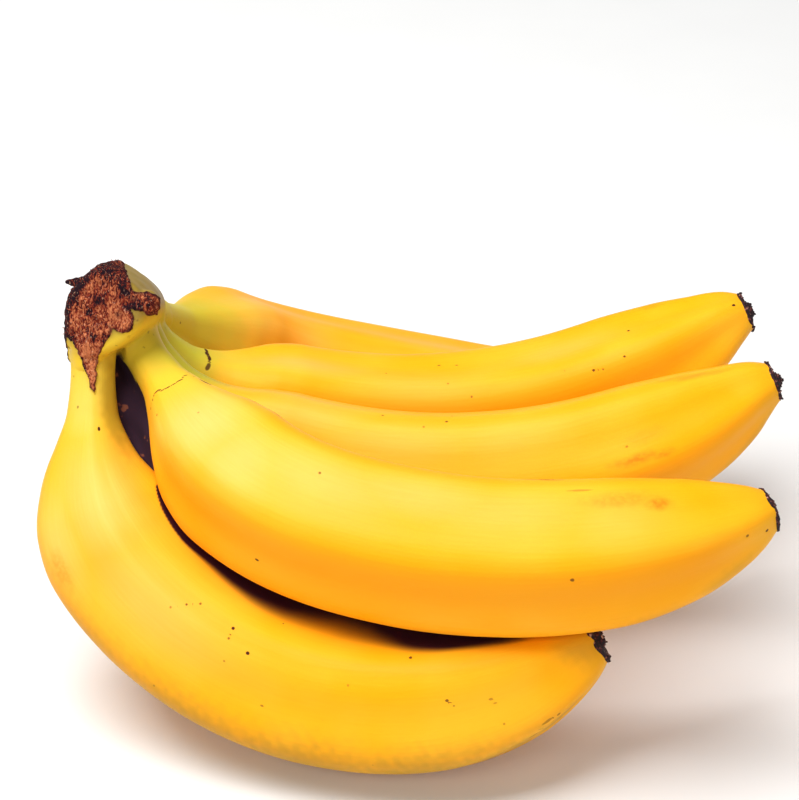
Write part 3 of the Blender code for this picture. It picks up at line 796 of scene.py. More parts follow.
def crown_material():
    """Banana crown: the fibrous cut, dried brown, over tan-green skin.

    Cut across, the strands dry to a red-brown felt with paler ends. The skin that
    wasn't cut stays smooth and olive.
    """
    paint = bpy.context.scene.bunch_colours
    made, tree = new_material("banana_crown_dried_cut")
    where = add_node(tree, "ShaderNodeTexCoord").outputs["Object"]
    layer = read_layers(tree, "dry", "edge", "stem", "tone", "greened", "shade_sheath")

    # Felted strands: 0.5 mm wide, and two and a half times as long down the pedicels.
    run = add_node(tree, "ShaderNodeMapping", {
        "Vector": where, "Rotation": (0.65, 0.25, 0.0), "Scale": (1.0, 1.0, 0.4)}).outputs[0]
    felt = add_node(tree, "ShaderNodeTexNoise", {
        "Vector": run, "Scale": 1050.0, "Detail": 4.0, "Roughness": 0.62,
        "Distortion": 1.8}).outputs["Fac"]
    clumps = add_node(tree, "ShaderNodeTexNoise", {
        "Vector": where, "Scale": 260.0, "Detail": 3.0}).outputs["Fac"]
    flecks = add_node(tree, "ShaderNodeTexNoise", {
        "Vector": run, "Scale": 2600.0, "Detail": 2.0}).outputs["Fac"]
    # The tone shifts the felt: dark patches keep a few pale strands, pale ones few dark.
    toned = add_node(tree, "ShaderNodeMath", {0: layer["tone"], 1: -0.18, 2: felt},
                     operation="MULTIPLY_ADD").outputs[0]
    brown = lay_coats(tree, paint.fibre, (
        (toned, 0.46, 0.62, 1.0, paint.fibre_light),
        (toned, 0.45, 0.36, 1.0, paint.fibre_dark),
        (clumps, 0.58, 0.70, 0.6, paint.fibre_dark),
        (flecks, 0.63, 0.69, 0.5, linear("#DDAA8A")),
        (layer["edge"], 0.25, 0.9, 0.75, paint.fibre_dark)))

    # Skin left on the crown: tan on top, greener down the pedicels, with freckles.
    freckles = add_node(tree, "ShaderNodeTexNoise", {
        "Vector": where, "Scale": 700.0, "Detail": 3.0}).outputs["Fac"]
    neck = lay_coats(tree, paint.ripe, ((layer["greened"], 0.0, 1.0, 1.0, paint.green),))
    # The thin sheath between the first two pedicels is painted shade: nearly black, with brown
    # tears of dried tissue.
    black = lay_coats(tree, linear("#2B1A26"), ((clumps, 0.60, 0.64, 1.0, linear("#6E3F30")),))
    cover = add_node(tree, "ShaderNodeMapRange", {
        0: layer["dry"], 1: 0.35, 2: 0.65, 3: 0.0, 4: 1.0}).outputs[0]
    colour = lay_coats(tree, linear("#A5853A"), (
        (clumps, 0.0, 1.0, 1.0, linear("#7F6C28")),
        (layer["stem"], 0.2, 0.85, 1.0, neck),
        (freckles, 0.64, 0.74, 0.6, linear("#6B5420")),
        (cover, 0.0, 1.0, 1.0, brown),
        (layer["shade_sheath"], 0.0, 1.0, 1.0, black)))

    relief = add_node(tree, "ShaderNodeMath", {0: felt, 1: cover}, operation="MULTIPLY").outputs[0]
    bump = add_node(tree, "ShaderNodeBump", {
        "Height": relief, "Distance": 1 * MM, "Strength": 0.9}).outputs[0]
    gloss = add_node(tree, "ShaderNodeMapRange", {
        0: cover, 1: 0.0, 2: 1.0, 3: 0.45, 4: 0.85}).outputs[0]
    gloss = add_node(tree, "ShaderNodeMath", {0: gloss, 1: layer["shade_sheath"]},
                     operation="MAXIMUM").outputs[0]
    shader = add_node(tree, "ShaderNodeBsdfPrincipled", {
        "Base Color": colour, "Roughness": gloss, "Normal": bump, "Specular IOR Level": 0.14})
    add_node(tree, "ShaderNodeOutputMaterial", {"Surface": shader.outputs[0]})
    return made


def fibre_material():
    """Loose plant fibre standing off the crown's cut: thin, dry and pale brown."""
    paint = bpy.context.scene.bunch_colours
    made, tree = new_material("loose_crown_fibre_dried")
    where = add_node(tree, "ShaderNodeTexCoord").outputs["Object"]
    # Strands differ every 0.7 mm or so.
    tone = add_node(tree, "ShaderNodeTexNoise", {"Vector": where, "Scale": 1400.0}).outputs["Fac"]
    colour = lay_coats(tree, paint.fibre, ((tone, 0.4, 0.62, 1.0, paint.fibre_light),))
    shader = add_node(tree, "ShaderNodeBsdfPrincipled", {
        "Base Color": colour, "Roughness": 0.8, "Specular IOR Level": 0.2})
    add_node(tree, "ShaderNodeOutputMaterial", {"Surface": shader.outputs[0]})
    return made


def blossom_material():
    """Dried blossom end: shrivelled tissue, near black, with dark red patches and beige flecks."""
    paint = bpy.context.scene.bunch_colours
    made, tree = new_material("dried_blossom_end")
    where = add_node(tree, "ShaderNodeTexCoord").outputs["Object"]
    # Flecks about 0.8 mm across.
    grain = add_node(tree, "ShaderNodeTexNoise", {
        "Vector": where, "Scale": 1150.0, "Detail": 4.0, "Roughness": 0.6}).outputs["Fac"]
    colour = lay_coats(tree, paint.blossom, (
        (grain, 0.50, 0.58, 0.9, linear("#571A1C")),
        (grain, 0.60, 0.68, 0.9, linear("#C39A86"))))
    bump = add_node(tree, "ShaderNodeBump", {
        "Height": grain, "Distance": 0.6 * MM, "Strength": 0.7}).outputs[0]
    shader = add_node(tree, "ShaderNodeBsdfPrincipled", {
        "Base Color": colour, "Roughness": 0.75, "Normal": bump, "Specular IOR Level": 0.3})
    add_node(tree, "ShaderNodeOutputMaterial", {"Surface": shader.outputs[0]})
    return made


def floor_material():
    """White studio sweep: matt painted board, with a faint mottle 40 mm across."""
    made, tree = new_material("matt_white_board")
    where = add_node(tree, "ShaderNodeTexCoord").outputs["Object"]
    mottle = add_node(tree, "ShaderNodeTexNoise", {"Vector": where, "Scale": 25.0}).outputs["Fac"]
    colour = lay_coats(tree, linear("#E8E8E7"), ((mottle, 0.0, 1.0, 1.0, linear("#E4E4E3")),))
    shader = add_node(tree, "ShaderNodeBsdfPrincipled", {
        "Base Color": colour, "Roughness": 0.9, "Specular IOR Level": 0.1})
    add_node(tree, "ShaderNodeOutputMaterial", {"Surface": shader.outputs[0]})
    return made


# Fingers


def finger_tree():
    """Geometry Nodes: sweeps a five-sided section along a finger's line."""
    tree, given = start_tree("sweep_finger", (
        ("Line", "Geometry"), ("Sectors", "Int"), ("Ridge turn", "Float"), ("Ripple", "Float"),
        ("Ripple size", "Float"), ("Skin", "Material")), "Finger")
    number, vector = "ShaderNodeMath", "ShaderNodeVectorMath"

    # A plain tube, which remembers each point's centre and its turn round the finger.
    line = add_node(tree, "GeometryNodeMeshToCurve", {0: given["Line"]}).outputs[0]
    circle = add_node(tree, "GeometryNodeCurvePrimitiveCircle", {
        "Resolution": given["Sectors"], "Radius": 0.01}).outputs[0]
    position = add_node(tree, "GeometryNodeInputPosition").outputs[0]
    round_share = add_node(tree, "GeometryNodeSplineParameter").outputs["Factor"]
    kept = []
    for kind, name, shape, value in (("VECTOR", "Centre", line, position),
                                     ("FLOAT", "Turn", circle, round_share)):
        keep = add_node(tree, "GeometryNodeCaptureAttribute")
        keep.capture_items.new(kind, name)
        tree.links.new(shape, keep.inputs[0])
        tree.links.new(value, keep.inputs[1])
        kept.append(keep.outputs)
    (line, centre), (circle, round_share) = ((outputs[0], outputs[1]) for outputs in kept)
    tube = add_node(tree, "GeometryNodeCurveToMesh", {
        "Curve": line, "Profile Curve": circle, "Fill Caps": True}).outputs[0]

    # How far out the skin lies: the girth, less the dips between the five ridges.
    turn = add_node(tree, number, {0: round_share, 1: 2 * math.pi}, operation="MULTIPLY").outputs[0]
    angle = add_node(tree, number, {0: turn, 1: given["Ridge turn"]}, operation="ADD").outputs[0]
    named = {name: add_node(tree, "GeometryNodeInputNamedAttribute", {"Name": name},
                            data_type=kind).outputs[0]
             for name, kind in (("girth", "FLOAT"), ("flat", "FLOAT"),
                                ("inward", "FLOAT_VECTOR"), ("across", "FLOAT_VECTOR"))}
    five = add_node(tree, number, {0: turn, 1: 5.0}, operation="MULTIPLY").outputs[0]
    lobes = add_node(tree, number, {0: five}, operation="COSINE").outputs[0]
    lobes = add_node(tree, "ShaderNodeMapRange", {
        0: lobes, 1: -1.0, 2: 1.0, 3: 1.0, 4: 0.0}).outputs[0]
    dip = add_node(tree, number, {0: lobes, 1: named["flat"]}, operation="MULTIPLY").outputs[0]
    dip = add_node(tree, number, {0: 1.0, 1: dip}, operation="SUBTRACT").outputs[0]
    reach = add_node(tree, number, {0: named["girth"], 1: dip}, operation="MULTIPLY").outputs[0]

    # Which way that is, and the point on the skin.
    parts = []
    for axis, wave in (("inward", "COSINE"), ("across", "SINE")):
        share = add_node(tree, number, {0: angle}, operation=wave).outputs[0]
        parts.append(add_node(tree, vector, {0: named[axis], "Scale": share},
                              operation="SCALE").outputs[0])
    direction = add_node(tree, vector, {0: parts[0], 1: parts[1]}, operation="ADD").outputs[0]
    outward = add_node(tree, vector, {0: direction, "Scale": reach}, operation="SCALE").outputs[0]
    skin_point = add_node(tree, vector, {0: centre, 1: outward}, operation="ADD").outputs[0]

    # Slow waves lift it a little.
    fineness = add_node(tree, number, {0: 1.0, 1: given["Ripple size"]},
                        operation="DIVIDE").outputs[0]
    wave = add_node(tree, "ShaderNodeTexNoise", {
        "Vector": skin_point, "Scale": fineness, "Detail": 1.0}).outputs["Fac"]
    wave = add_node(tree, number, {0: wave, 1: 0.5}, operation="SUBTRACT").outputs[0]
    wave = add_node(tree, number, {0: wave, 1: given["Ripple"]}, operation="MULTIPLY").outputs[0]
    lift = add_node(tree, vector, {0: direction, "Scale": wave}, operation="SCALE").outputs[0]
    final = add_node(tree, vector, {0: skin_point, 1: lift}, operation="ADD").outputs[0]

    shape = add_node(tree, "GeometryNodeSetPosition", {
        "Geometry": tube, "Position": final}).outputs[0]
    for name, value, kind in (("turn", round_share, "FLOAT"), ("centre", centre, "FLOAT_VECTOR")):
        shape = add_node(tree, "GeometryNodeStoreNamedAttribute", {
            "Geometry": shape, "Name": name, "Value": value}, data_type=kind).outputs[0]
    return end_tree(tree, shape, given["Skin"])


def finger_line_mesh(finger, rings):
    """The finger's line as a chain of edges that carries the section's sizes and axes."""
    even = np.linspace(0.0, 1.0, rings)
    # Rings stand closer towards both ends.
    places = (1 - END_CROWDING) * even + END_CROWDING * (1 - np.cos(math.pi * even)) / 2
    mesh = mesh_from(finger.name + "_line", finger.at(places, finger.line),
                     edges=[(i, i + 1) for i in range(rings - 1)])
    put_values(mesh, "place", places)
    for name, values in (("girth", finger.radius), ("flat", finger.flat),
                         ("inward", finger.inward), ("across", finger.across)):
        put_values(mesh, name, finger.at(places, values))
    return mesh


def skin_map(mesh, finger, turn, place):
    """UV map in metres: along the finger, and round it at its full girth."""
    loops = np.empty(len(mesh.loops), int)
    mesh.loops.foreach_get("vertex_index", loops)
    starts = np.empty(len(mesh.polygons), int)
    counts = np.empty(len(mesh.polygons), int)
    mesh.polygons.foreach_get("loop_start", starts)
    mesh.polygons.foreach_get("loop_total", counts)
    around = turn[loops].copy()
    # Faces that close the ring run on past one turn.
    high = np.maximum.reduceat(around, starts)
    face = np.repeat(np.arange(len(starts)), counts)
    around[high[face] - around > 0.5] += 1.0
    layer = mesh.uv_layers.new(name="skin")
    girth = 2 * math.pi * finger.radius.max()
    pairs = np.stack([place[loops] * finger.length, around * girth], axis=1)
    layer.data.foreach_set("uv", np.ascontiguousarray(pairs, np.float32).ravel())


def paint_marks(finger, place, angle, points):
    """Soft patches by kind, and the way to the nearest dark mark, on every point of the skin.

    The way to a mark is counted in the mark's own half sizes, so the skin material
    draws its edge sharply between points; its third part is above zero far from it.
    """
    soft = {kind: np.zeros(len(place)) for kind in ("bruise", "painted_shade", "painted_highlight")}
    best = np.full(len(place), 1e9)
    way = np.tile([0.0, 0.0, 9.0], (len(place), 1))
    dark = np.zeros(len(place))
    reach = finger.at(place, finger.radius) / MM
    ragged = ripple_noise(points, 1.3 * MM, 7)
    for kind, marks in MARKS[finger.name].items():
        for at, turned, long, wide, strength in marks:
            along = (place - at) * finger.length / MM
            around = ((angle - math.radians(turned) + math.pi) % (2 * math.pi) - math.pi) * reach
            if kind in soft:
                far = np.hypot(along / long, around / wide)
                share = (np.exp(-far ** 2) if kind == "painted_highlight"
                         else ease(1.25 - 0.8 * far + 0.12 * ragged))
                soft[kind] = np.maximum(soft[kind], strength * share)
                continue
            beyond = np.hypot(np.maximum(np.abs(along) - long, 0),
                              np.maximum(np.abs(around) - wide, 0))
            nearer = beyond < np.minimum(best, 3.0)
            best = np.where(nearer, beyond, best)
            far_out = np.clip(beyond - 1.2, 0, 2) * 4
            way[nearer] = np.stack([along / long, around / wide, far_out], axis=1)[nearer]
            dark = np.where(nearer, strength, dark)
    return soft, way, dark


def crevice_shade_share(finger, others, place, points):
    """How much painted crevice shade each point gets from its neighbours: widely on the first
    finger.
    """
    gaps = []
    for other in others:
        depth, reach = other.depth_share(points)
        gaps.append((depth - 1) * reach / MM)
    clearance = np.min(gaps, axis=0)
    thin = 0.62 * ease(1.4 - clearance / 0.8) * ease((place - 0.1) / 0.05) * ease(
        0.75 + 0.8 * ripple_noise(points, 7 * MM, 61))
    if finger.name != "finger_1":
        return thin
    wide = ease(1.7 - 1.7 * gaps[0] / spline(CREVICE_SHADE_WIDTH, place)) * ease((place - 0.17) / 0.05)
    return np.maximum(wide, thin)


def flank_share(finger, place, turn):
    """How much painted shade shows under a ridge: it starts sharply past the ridge and fades
    slowly.
    """
    start, strength = RIDGE_SHADES.get(finger.name, (0, 0.0))
    past = turn * 360 - start
    return (strength * ease(past / 7) * (1 - ease((past - 22) / 50))
            * ease((place - 0.17) / 0.06) * (1 - ease((place - 0.88) / 0.1)))


class BUNCH_OT_fingers(bpy.types.Operator):
    """Grows the skins of the five fingers, pressed flat where they touch"""
    bl_idname = "bunch.fingers"
    bl_label = "Fingers"

    def execute(self, context):
        sizes = context.scene.bunch_sizes
        fingers, _ = make_fingers()
        tree = finger_tree()
        peel = peel_material()
        for finger in fingers:
            thing = link_object("skin_" + finger.name, finger_line_mesh(finger, sizes.rings))
            mesh = grow(thing, tree, {
                "Sectors": sizes.sectors, "Ridge turn": finger.ridge, "Ripple": sizes.ripple,
                "Ripple size": RIPPLE_SIZE, "Skin": peel})
            if len(mesh.vertices) < sizes.rings * sizes.sectors:
                raise RuntimeError("the sweep of " + finger.name + " made too few points")

            others = [other for other in fingers if other is not finger]
            centres = read_values(mesh, "centre", 3)
            offsets = read_points(mesh) - centres
            reaches = np.linalg.norm(offsets, axis=1)
            directions = offsets / reaches[:, None]
            reaches = press(others, centres, directions, reaches, sizes.press_gap)
            points = centres + directions * reaches[:, None]
            # The bunch rests on the floor.
            points[:, 2] = np.maximum(points[:, 2], 0.0)
            write_points(mesh, points)
            turn_outwards(mesh)

            points = read_points(mesh)
            place, turn = read_values(mesh, "place"), read_values(mesh, "turn")
            angle = turn * 2 * math.pi + finger.ridge
            soft, way, dark = paint_marks(finger, place, angle, points)
            green, down = GREENED[finger.name]
            layers = {
                **soft, "mark_way": way, "mark_dark": dark,
                "greened": np.full(len(points), GREENEST * green), "green_at": place / down,
                "crevice_shade": crevice_shade_share(finger, others, place, points),
                "flank": flank_share(finger, place, turn),
                "ridge": (1 + np.cos(5 * (angle - finger.ridge))) / 2,
                "shade_side": (1 + np.cos(angle - SHADE_SIDE)) / 2,
            }
            for name, values in layers.items():
                put_values(mesh, name, values)
            skin_map(mesh, finger, turn, place)
            for name in ("centre", "turn", "girth", "flat", "inward", "across"):
                mesh.attributes.remove(mesh.attributes[name])
            finish_piece(thing, (finger.name,))
        return {"FINISHED"}


# Crown


def crown_axes(fingers):
    """Axes of the crown: along the row of roots, across it, and up off the fingers."""
    first, last = fingers[0].line[0], fingers[-1].line[0]
    along = unit(last - first)
    away = -sum(finger.ahead[0] for finger in fingers)
    up = unit(away - (away @ along) * along)
    return first, along, np.cross(along, up), up


def crown_height(fingers, points):
    """How far up off the first finger's root each point lies, in millimetres."""
    first, _, _, up = crown_axes(fingers)
    return (points - first) @ up / MM


def front_plane(fingers, points):
    """Points as the camera sees them: millimetres right of the first root, and above it."""
    offset = (points - crown_axes(fingers)[0]) / MM
    return np.stack([offset[:, 0], offset @ CAMERA_UP], axis=1)


def tube_faces(rings, sectors):
    """Faces of a closed tube with flat ends."""
    faces = [(i * sectors + j, i * sectors + (j + 1) % sectors,
              (i + 1) * sectors + (j + 1) % sectors, (i + 1) * sectors + j)
             for i in range(rings - 1) for j in range(sectors)]
    faces.append(tuple(reversed(range(sectors))))
    faces.append(tuple((rings - 1) * sectors + j for j in range(sectors)))
    return faces


def add_tube(bm, rings):
    """Adds a closed tube through the rings to the mesh being built."""
    rings = np.asarray(rings)
    verts = [bm.verts.new(point) for point in rings.reshape(-1, 3)]
    faces = tube_faces(len(rings), rings.shape[1])
    made = [bm.faces.new([verts[i] for i in face]) for face in faces]
    bmesh.ops.recalc_face_normals(bm, faces=made)


def cushion_rings(fingers):
    """The woody cushion, from its table of stations and its one section."""
    first, along, across, up = crown_axes(fingers)
    table = np.array(CROWN_STATIONS)
    section = closed_curve(CROWN_SECTION, 48)
    rings = []
    for distance in np.linspace(table[0, 0], table[-1, 0], 40):
        shift, lift, wide, tall = (np.interp(distance, table[:, 0], column)
                                   for column in table[:, 1:].T)
        rings.append([first + (distance * along + (shift + x * wide) * across
                               + (lift + y * tall) * up) * MM for x, y in section])
    return rings


def pedicel_rings(finger, end, swell):
    """A pedicel's base that swells into the crown and thins to under the skin at its end."""
    angles = even_turns(40)
    sunk, thinned = -3.0 * MM, 0.35
    rings = []
    for share in np.linspace(0.0, 1.0, 16):
        place = np.full(len(angles), share * end)
        reach = finger.reach(place, angles) + swell * (1 - share) ** 2 * MM - thinned * share * MM
        start = finger.ahead[0] * (sunk if share == 0 else 0.0)
        rings.append(finger.at(place, finger.line) + start
                     + finger.direction(place, angles) * reach[:, None])
    return rings


def web_rings(one, other, end):
    """A web of skin that joins two neighbouring pedicels at the crown."""
    angles = even_turns(24)
    rings = []
    for share in np.linspace(0.0, 1.0, 10):
        place = share * end
        a, b = (finger.at(np.array([place]), finger.line)[0] for finger in (one, other))
        middle, apart = (a + b) / 2, (b - a) / 2
        ahead = unit(one.ahead[0] + other.ahead[0])
        wide = apart - (apart @ ahead) * ahead
        thick = unit(np.cross(ahead, wide)) * (WEB_HALF_THICKNESS * (1 - 0.6 * share)) * MM
        rings.append([middle + math.cos(t) * wide + math.sin(t) * thick for t in angles])
    return rings


def tongue_rings(finger):
    """The dried flap that runs down the front pedicel, narrowing to a point."""
    columns, count = 25, 40
    side = np.linspace(-1, 1, columns)
    edge = np.sqrt(np.clip(1 - side ** 4, 0, 1))
    rings = []
    for i in range(count):
        share = i / (count - 1)
        far = TONGUE_START + share * TONGUE_LENGTH
        half = TONGUE_HALF_TURN * (1 - max(share - 0.1, 0) / 0.9) ** 0.8
        half = max(half, math.radians(4))
        turns = TONGUE_TURN + half * side
        place = np.full(columns, max(far, 0.0) * MM / finger.length)
        centre = finger.at(place, finger.line) + finger.ahead[0] * min(far, 0.0) * MM
        way, reach = finger.direction(place, turns), finger.reach(place, turns)
        outer = centre + way * (reach + (0.25 + 0.65 * edge * (1 - 0.4 * share)) * MM)[:, None]
        inner = centre + way * (reach - 1.2 * MM)[:, None]
        rings.append(np.concatenate([outer, inner[::-1]]))
    return rings


def spike_rings(fingers):
    """A stray dried splinter at the top left of the cut."""
    first, *axes = crown_axes(fingers)
    along, _, up = axes
    start = first + sum(far * axis for far, axis in zip(SPIKE_START, axes)) * MM
    ahead = unit(sum(far * axis for far, axis in zip(SPIKE_WAY, axes)))
    side = unit(np.cross(ahead, along))
    other = np.cross(ahead, side)
    rings = []
    for share, radius in SPIKE_ROWS:
        centre = start + ahead * share * SPIKE_LENGTH * MM + up * 0.3 * share * MM
        rings.append([centre + SPIKE_GAIN * MM * radius
                      * (math.cos(a) * side + math.sin(a) * other)
                      for a in even_turns(16)])
    return rings


def shade_sheath_line(fingers, place, share, sway):
    """A point of the sheath that hangs between the first two pedicels: a dark sheet of painted
    shade, with some dried tissue.
    """
    a, b = (finger.at(place, finger.line) for finger in fingers[:2])
    bulge = SHADE_SHEATH_BULGE * np.sin(math.pi * share) + sway
    return a + (b - a) * share[:, None] + CAMERA_AHEAD * (bulge * MM)[:, None]


def shade_sheath_rings(fingers):
    """The sheath as a crumpled slab, ragged at its lower edge."""
    share = np.linspace(0.08, 0.92, 30)
    count = 44
    end = SHADE_SHEATH_END + 0.018 * np.sin(share * 17.0) + 0.012 * np.sin(share * 41.0 + 1.0)
    rings = []
    for i in range(count):
        down = i / (count - 1)
        place = SHADE_SHEATH_START + down * (end - SHADE_SHEATH_START)
        sway = (0.9 * np.sin(share * 13.0 + down * 3.0) + 0.6 * np.sin(share * 29.0 - down * 7.0)
                + 0.5 * np.sin(down * 19.0 + share * 5.0))
        front = shade_sheath_line(fingers, place, share, sway)
        back = shade_sheath_line(fingers, place, share, sway + SHADE_SHEATH_THICKNESS)
        rings.append(np.concatenate([front, back[::-1]]))
    return rings


def knob_rings(fingers):
    """The rounded lump at the right end of the cut."""
    first, *axes = crown_axes(fingers)
    along, across, up = axes
    middle = first + sum(far * axis for far, axis in zip(KNOB_MIDDLE, axes)) * MM
    long, wide, tall = KNOB_RADII
    rings = []
    for tilt in np.linspace(-1.45, 1.45, 14):
        level = middle + along * math.sin(tilt) * long * MM
        rings.append([level + math.cos(tilt) * (wide * math.cos(a) * across
                                                + tall * math.sin(a) * up) * MM
                      for a in even_turns(24)])
    return rings


def outline_side(points, outline):
    """Signed distance to a closed outline, above zero inside it."""
    outline = np.array(outline)
    nearest = np.full(len(points), 1e9)
    inside = np.zeros(len(points), bool)
    for a, b in zip(outline, np.roll(outline, -1, axis=0)):
        edge = b - a
        t = np.clip(((points - a) @ edge) / (edge @ edge), 0, 1)
        nearest = np.minimum(nearest, np.linalg.norm(points - a - t[:, None] * edge, axis=1))
        crosses = (a[1] > points[:, 1]) != (b[1] > points[:, 1])
        rise = b[1] - a[1] if b[1] != a[1] else 1e-9
        inside ^= crosses & (points[:, 0] < a[0] + (points[:, 1] - a[1]) / rise * edge[0])
    return np.where(inside, nearest, -nearest)


def dry_cover(fingers, points, normals):
    """How far inside the dried cut each point of the crown lies, in millimetres."""
    first, along, across, up = crown_axes(fingers)
    flat = front_plane(fingers, points)
    seen = outline_side(flat, DRY_EDGE)
    # The photograph gives the edge in front. Behind, it is a plain slanting one.
    offset = (points - first) / MM
    far_along, far_across, height = offset @ along, offset @ across, offset @ up
    behind = np.minimum(BACK_REACH - far_along,
                        height + BACK_LOW - BACK_SLANT * np.maximum(far_along, 0))
    behind = np.where(far_along < END_FACE, np.minimum(2.0, height + END_FACE_LOW), behind)
    behind = np.minimum(behind, BACK_WIDTH - far_across)
    blend = ease((normals @ CAMERA_AHEAD + 0.15) / 0.4)
    cover = seen * (1 - blend) + behind * blend
    # The lump at the right end is dry all round.
    knob = KNOB_SEEN_RADIUS - np.hypot(flat[:, 0] - KNOB_SEEN[0], flat[:, 1] - KNOB_SEEN[1])
    cover = np.maximum(cover, np.minimum(knob, 4.5 - far_along))
    return np.minimum(cover, CUT_REACH - far_along)


def cut_tone(fingers, points, normals):
    """How dark or pale each point of the dried cut is, from the table of tones."""
    flat = front_plane(fingers, points)
    tone = np.zeros(len(points))
    for right, high, wide, dark in DRY_TONES:
        tone += dark * np.exp(-((flat - (right, high)) ** 2).sum(axis=1) / wide ** 2)
    # The side turned up to the left is darker.
    up_left = unit(np.array([-0.85, 0.1, 0.45]))
    tone += 1.1 * ease((normals @ up_left - 0.2) / 0.35)
    front = ease(0.6 - normals @ CAMERA_AHEAD)
    return (np.clip(tone, -1, 1) * front + 0.35 * (1 - front)
            + 0.22 * ripple_noise(points, 2.2 * MM, 41))


def fibre_tree():
    """Geometry Nodes: short bent fibres scattered over the dried cut."""
    tree, given = start_tree("scatter_fibres", (
        ("Crown", "Geometry"), ("Fibres per square metre", "Float"), ("Fibre length", "Float"),
        ("Seed", "Int"), ("Fibre", "Material")), "Fibres")
    dry = add_node(tree, "GeometryNodeInputNamedAttribute", {"Name": "dry"},
                   data_type="FLOAT").outputs[0]
    chosen = add_node(tree, "ShaderNodeMath", {0: dry, 1: 0.75},
                      operation="GREATER_THAN").outputs[0]
    spread = add_node(tree, "GeometryNodeDistributePointsOnFaces", {
        "Mesh": given["Crown"], "Selection": chosen, "Density": given["Fibres per square metre"],
        "Seed": given["Seed"]}).outputs
    # One fibre, in shares of its length: bent over, and about a tenth as thick.
    bend = add_node(tree, "GeometryNodeCurveQuadraticBezier", {
        "Resolution": 4, "Start": (0.0, 0.0, -0.15), "Middle": (0.12, 0.0, 0.5),
        "End": (0.5, 0.1, 0.8)}).outputs[0]
    section = add_node(tree, "GeometryNodeCurvePrimitiveCircle", {
        "Resolution": 4, "Radius": 0.09}).outputs[0]
    fibre = add_node(tree, "GeometryNodeCurveToMesh", {
        "Curve": bend, "Profile Curve": section, "Fill Caps": True}).outputs[0]
    placed = strew(tree, {"Points": spread["Points"], "Instance": fibre}, spread["Rotation"],
                   lean=0.9, sizes=(0.4, 1.3), size_seed=3, size=given["Fibre length"],
                   seed=given["Seed"])
    return end_tree(tree, placed, given["Fibre"])


def crown_core(fingers):
    """The crown's parts as closed tubes that run into each other."""
    bm = bmesh.new()
    add_tube(bm, cushion_rings(fingers))
    for finger, (end, swell) in zip(fingers, PEDICEL_BASES):
        add_tube(bm, pedicel_rings(finger, end, swell))
    for one, other, end in zip(fingers, fingers[1:], WEB_ENDS):
        add_tube(bm, web_rings(one, other, end))
    add_tube(bm, tongue_rings(fingers[0]))
    for rings in (spike_rings, knob_rings, shade_sheath_rings):
        add_tube(bm, rings(fingers))
    mesh = bpy.data.meshes.new("crown_core")
    bm.to_mesh(mesh)
    bm.free()
    return mesh


def add_smoothing(thing, name, rounds):
    smooth = thing.modifiers.new(name, "SMOOTH")
    smooth.factor = 0.5
    smooth.iterations = rounds
    return smooth


def make_one_skin(thing, grain, fingers):
    """Joins the crown's parts into one skin, which runs over to the pedicels without a lip."""
    remesh = thing.modifiers.new("one skin", "REMESH")
    remesh.mode = "VOXEL"
    remesh.voxel_size = grain
    add_smoothing(thing, "soft joins", 7)
    mesh = settle_modifiers(thing)

    points = read_points(mesh)
    rim = dry_cover(fingers, points, read_normals(mesh))
    height = crown_height(fingers, points)
    hollow = np.min([finger.depth_share(points)[0] for finger in fingers[:2]], axis=0)
    loose_skin = ease((-0.3 - rim) / 1.0) * ease((5.0 - height) / 4.0)
    # The sheath in the hollow keeps its crumples.
    loose_skin *= 1 - ease((hollow - 1.6) / 0.3) * ease((-9.0 - height) / 2.0)
    joins = thing.vertex_groups.new(name="joins")
    for step in range(1, 11):
        chosen = np.flatnonzero(np.round(loose_skin * 10) == step)
        joins.add([int(i) for i in chosen], step / 10, "REPLACE")
    add_smoothing(thing, "no lip", 60).vertex_group = "joins"
    return settle_modifiers(thing)


def shade_sheath_share(fingers, points, height):
    """Which points of the crown are the sheath, clear of the pedicels' own skin."""
    far = np.full(len(points), 9.0)
    for spot in np.array(shade_sheath_rings(fingers)).reshape(-1, 3)[::2]:
        far = np.minimum(far, ((points - spot) ** 2).sum(axis=1))
    far = np.sqrt(far) / MM
    bare = np.min([finger.depth_share(points)[0] for finger in fingers[:2]], axis=0)
    clear = np.maximum(ease((bare - 1.0) / 0.05), ease((-11.0 - height) / 2.0))
    return ease((2.0 - far) / 0.5) * clear


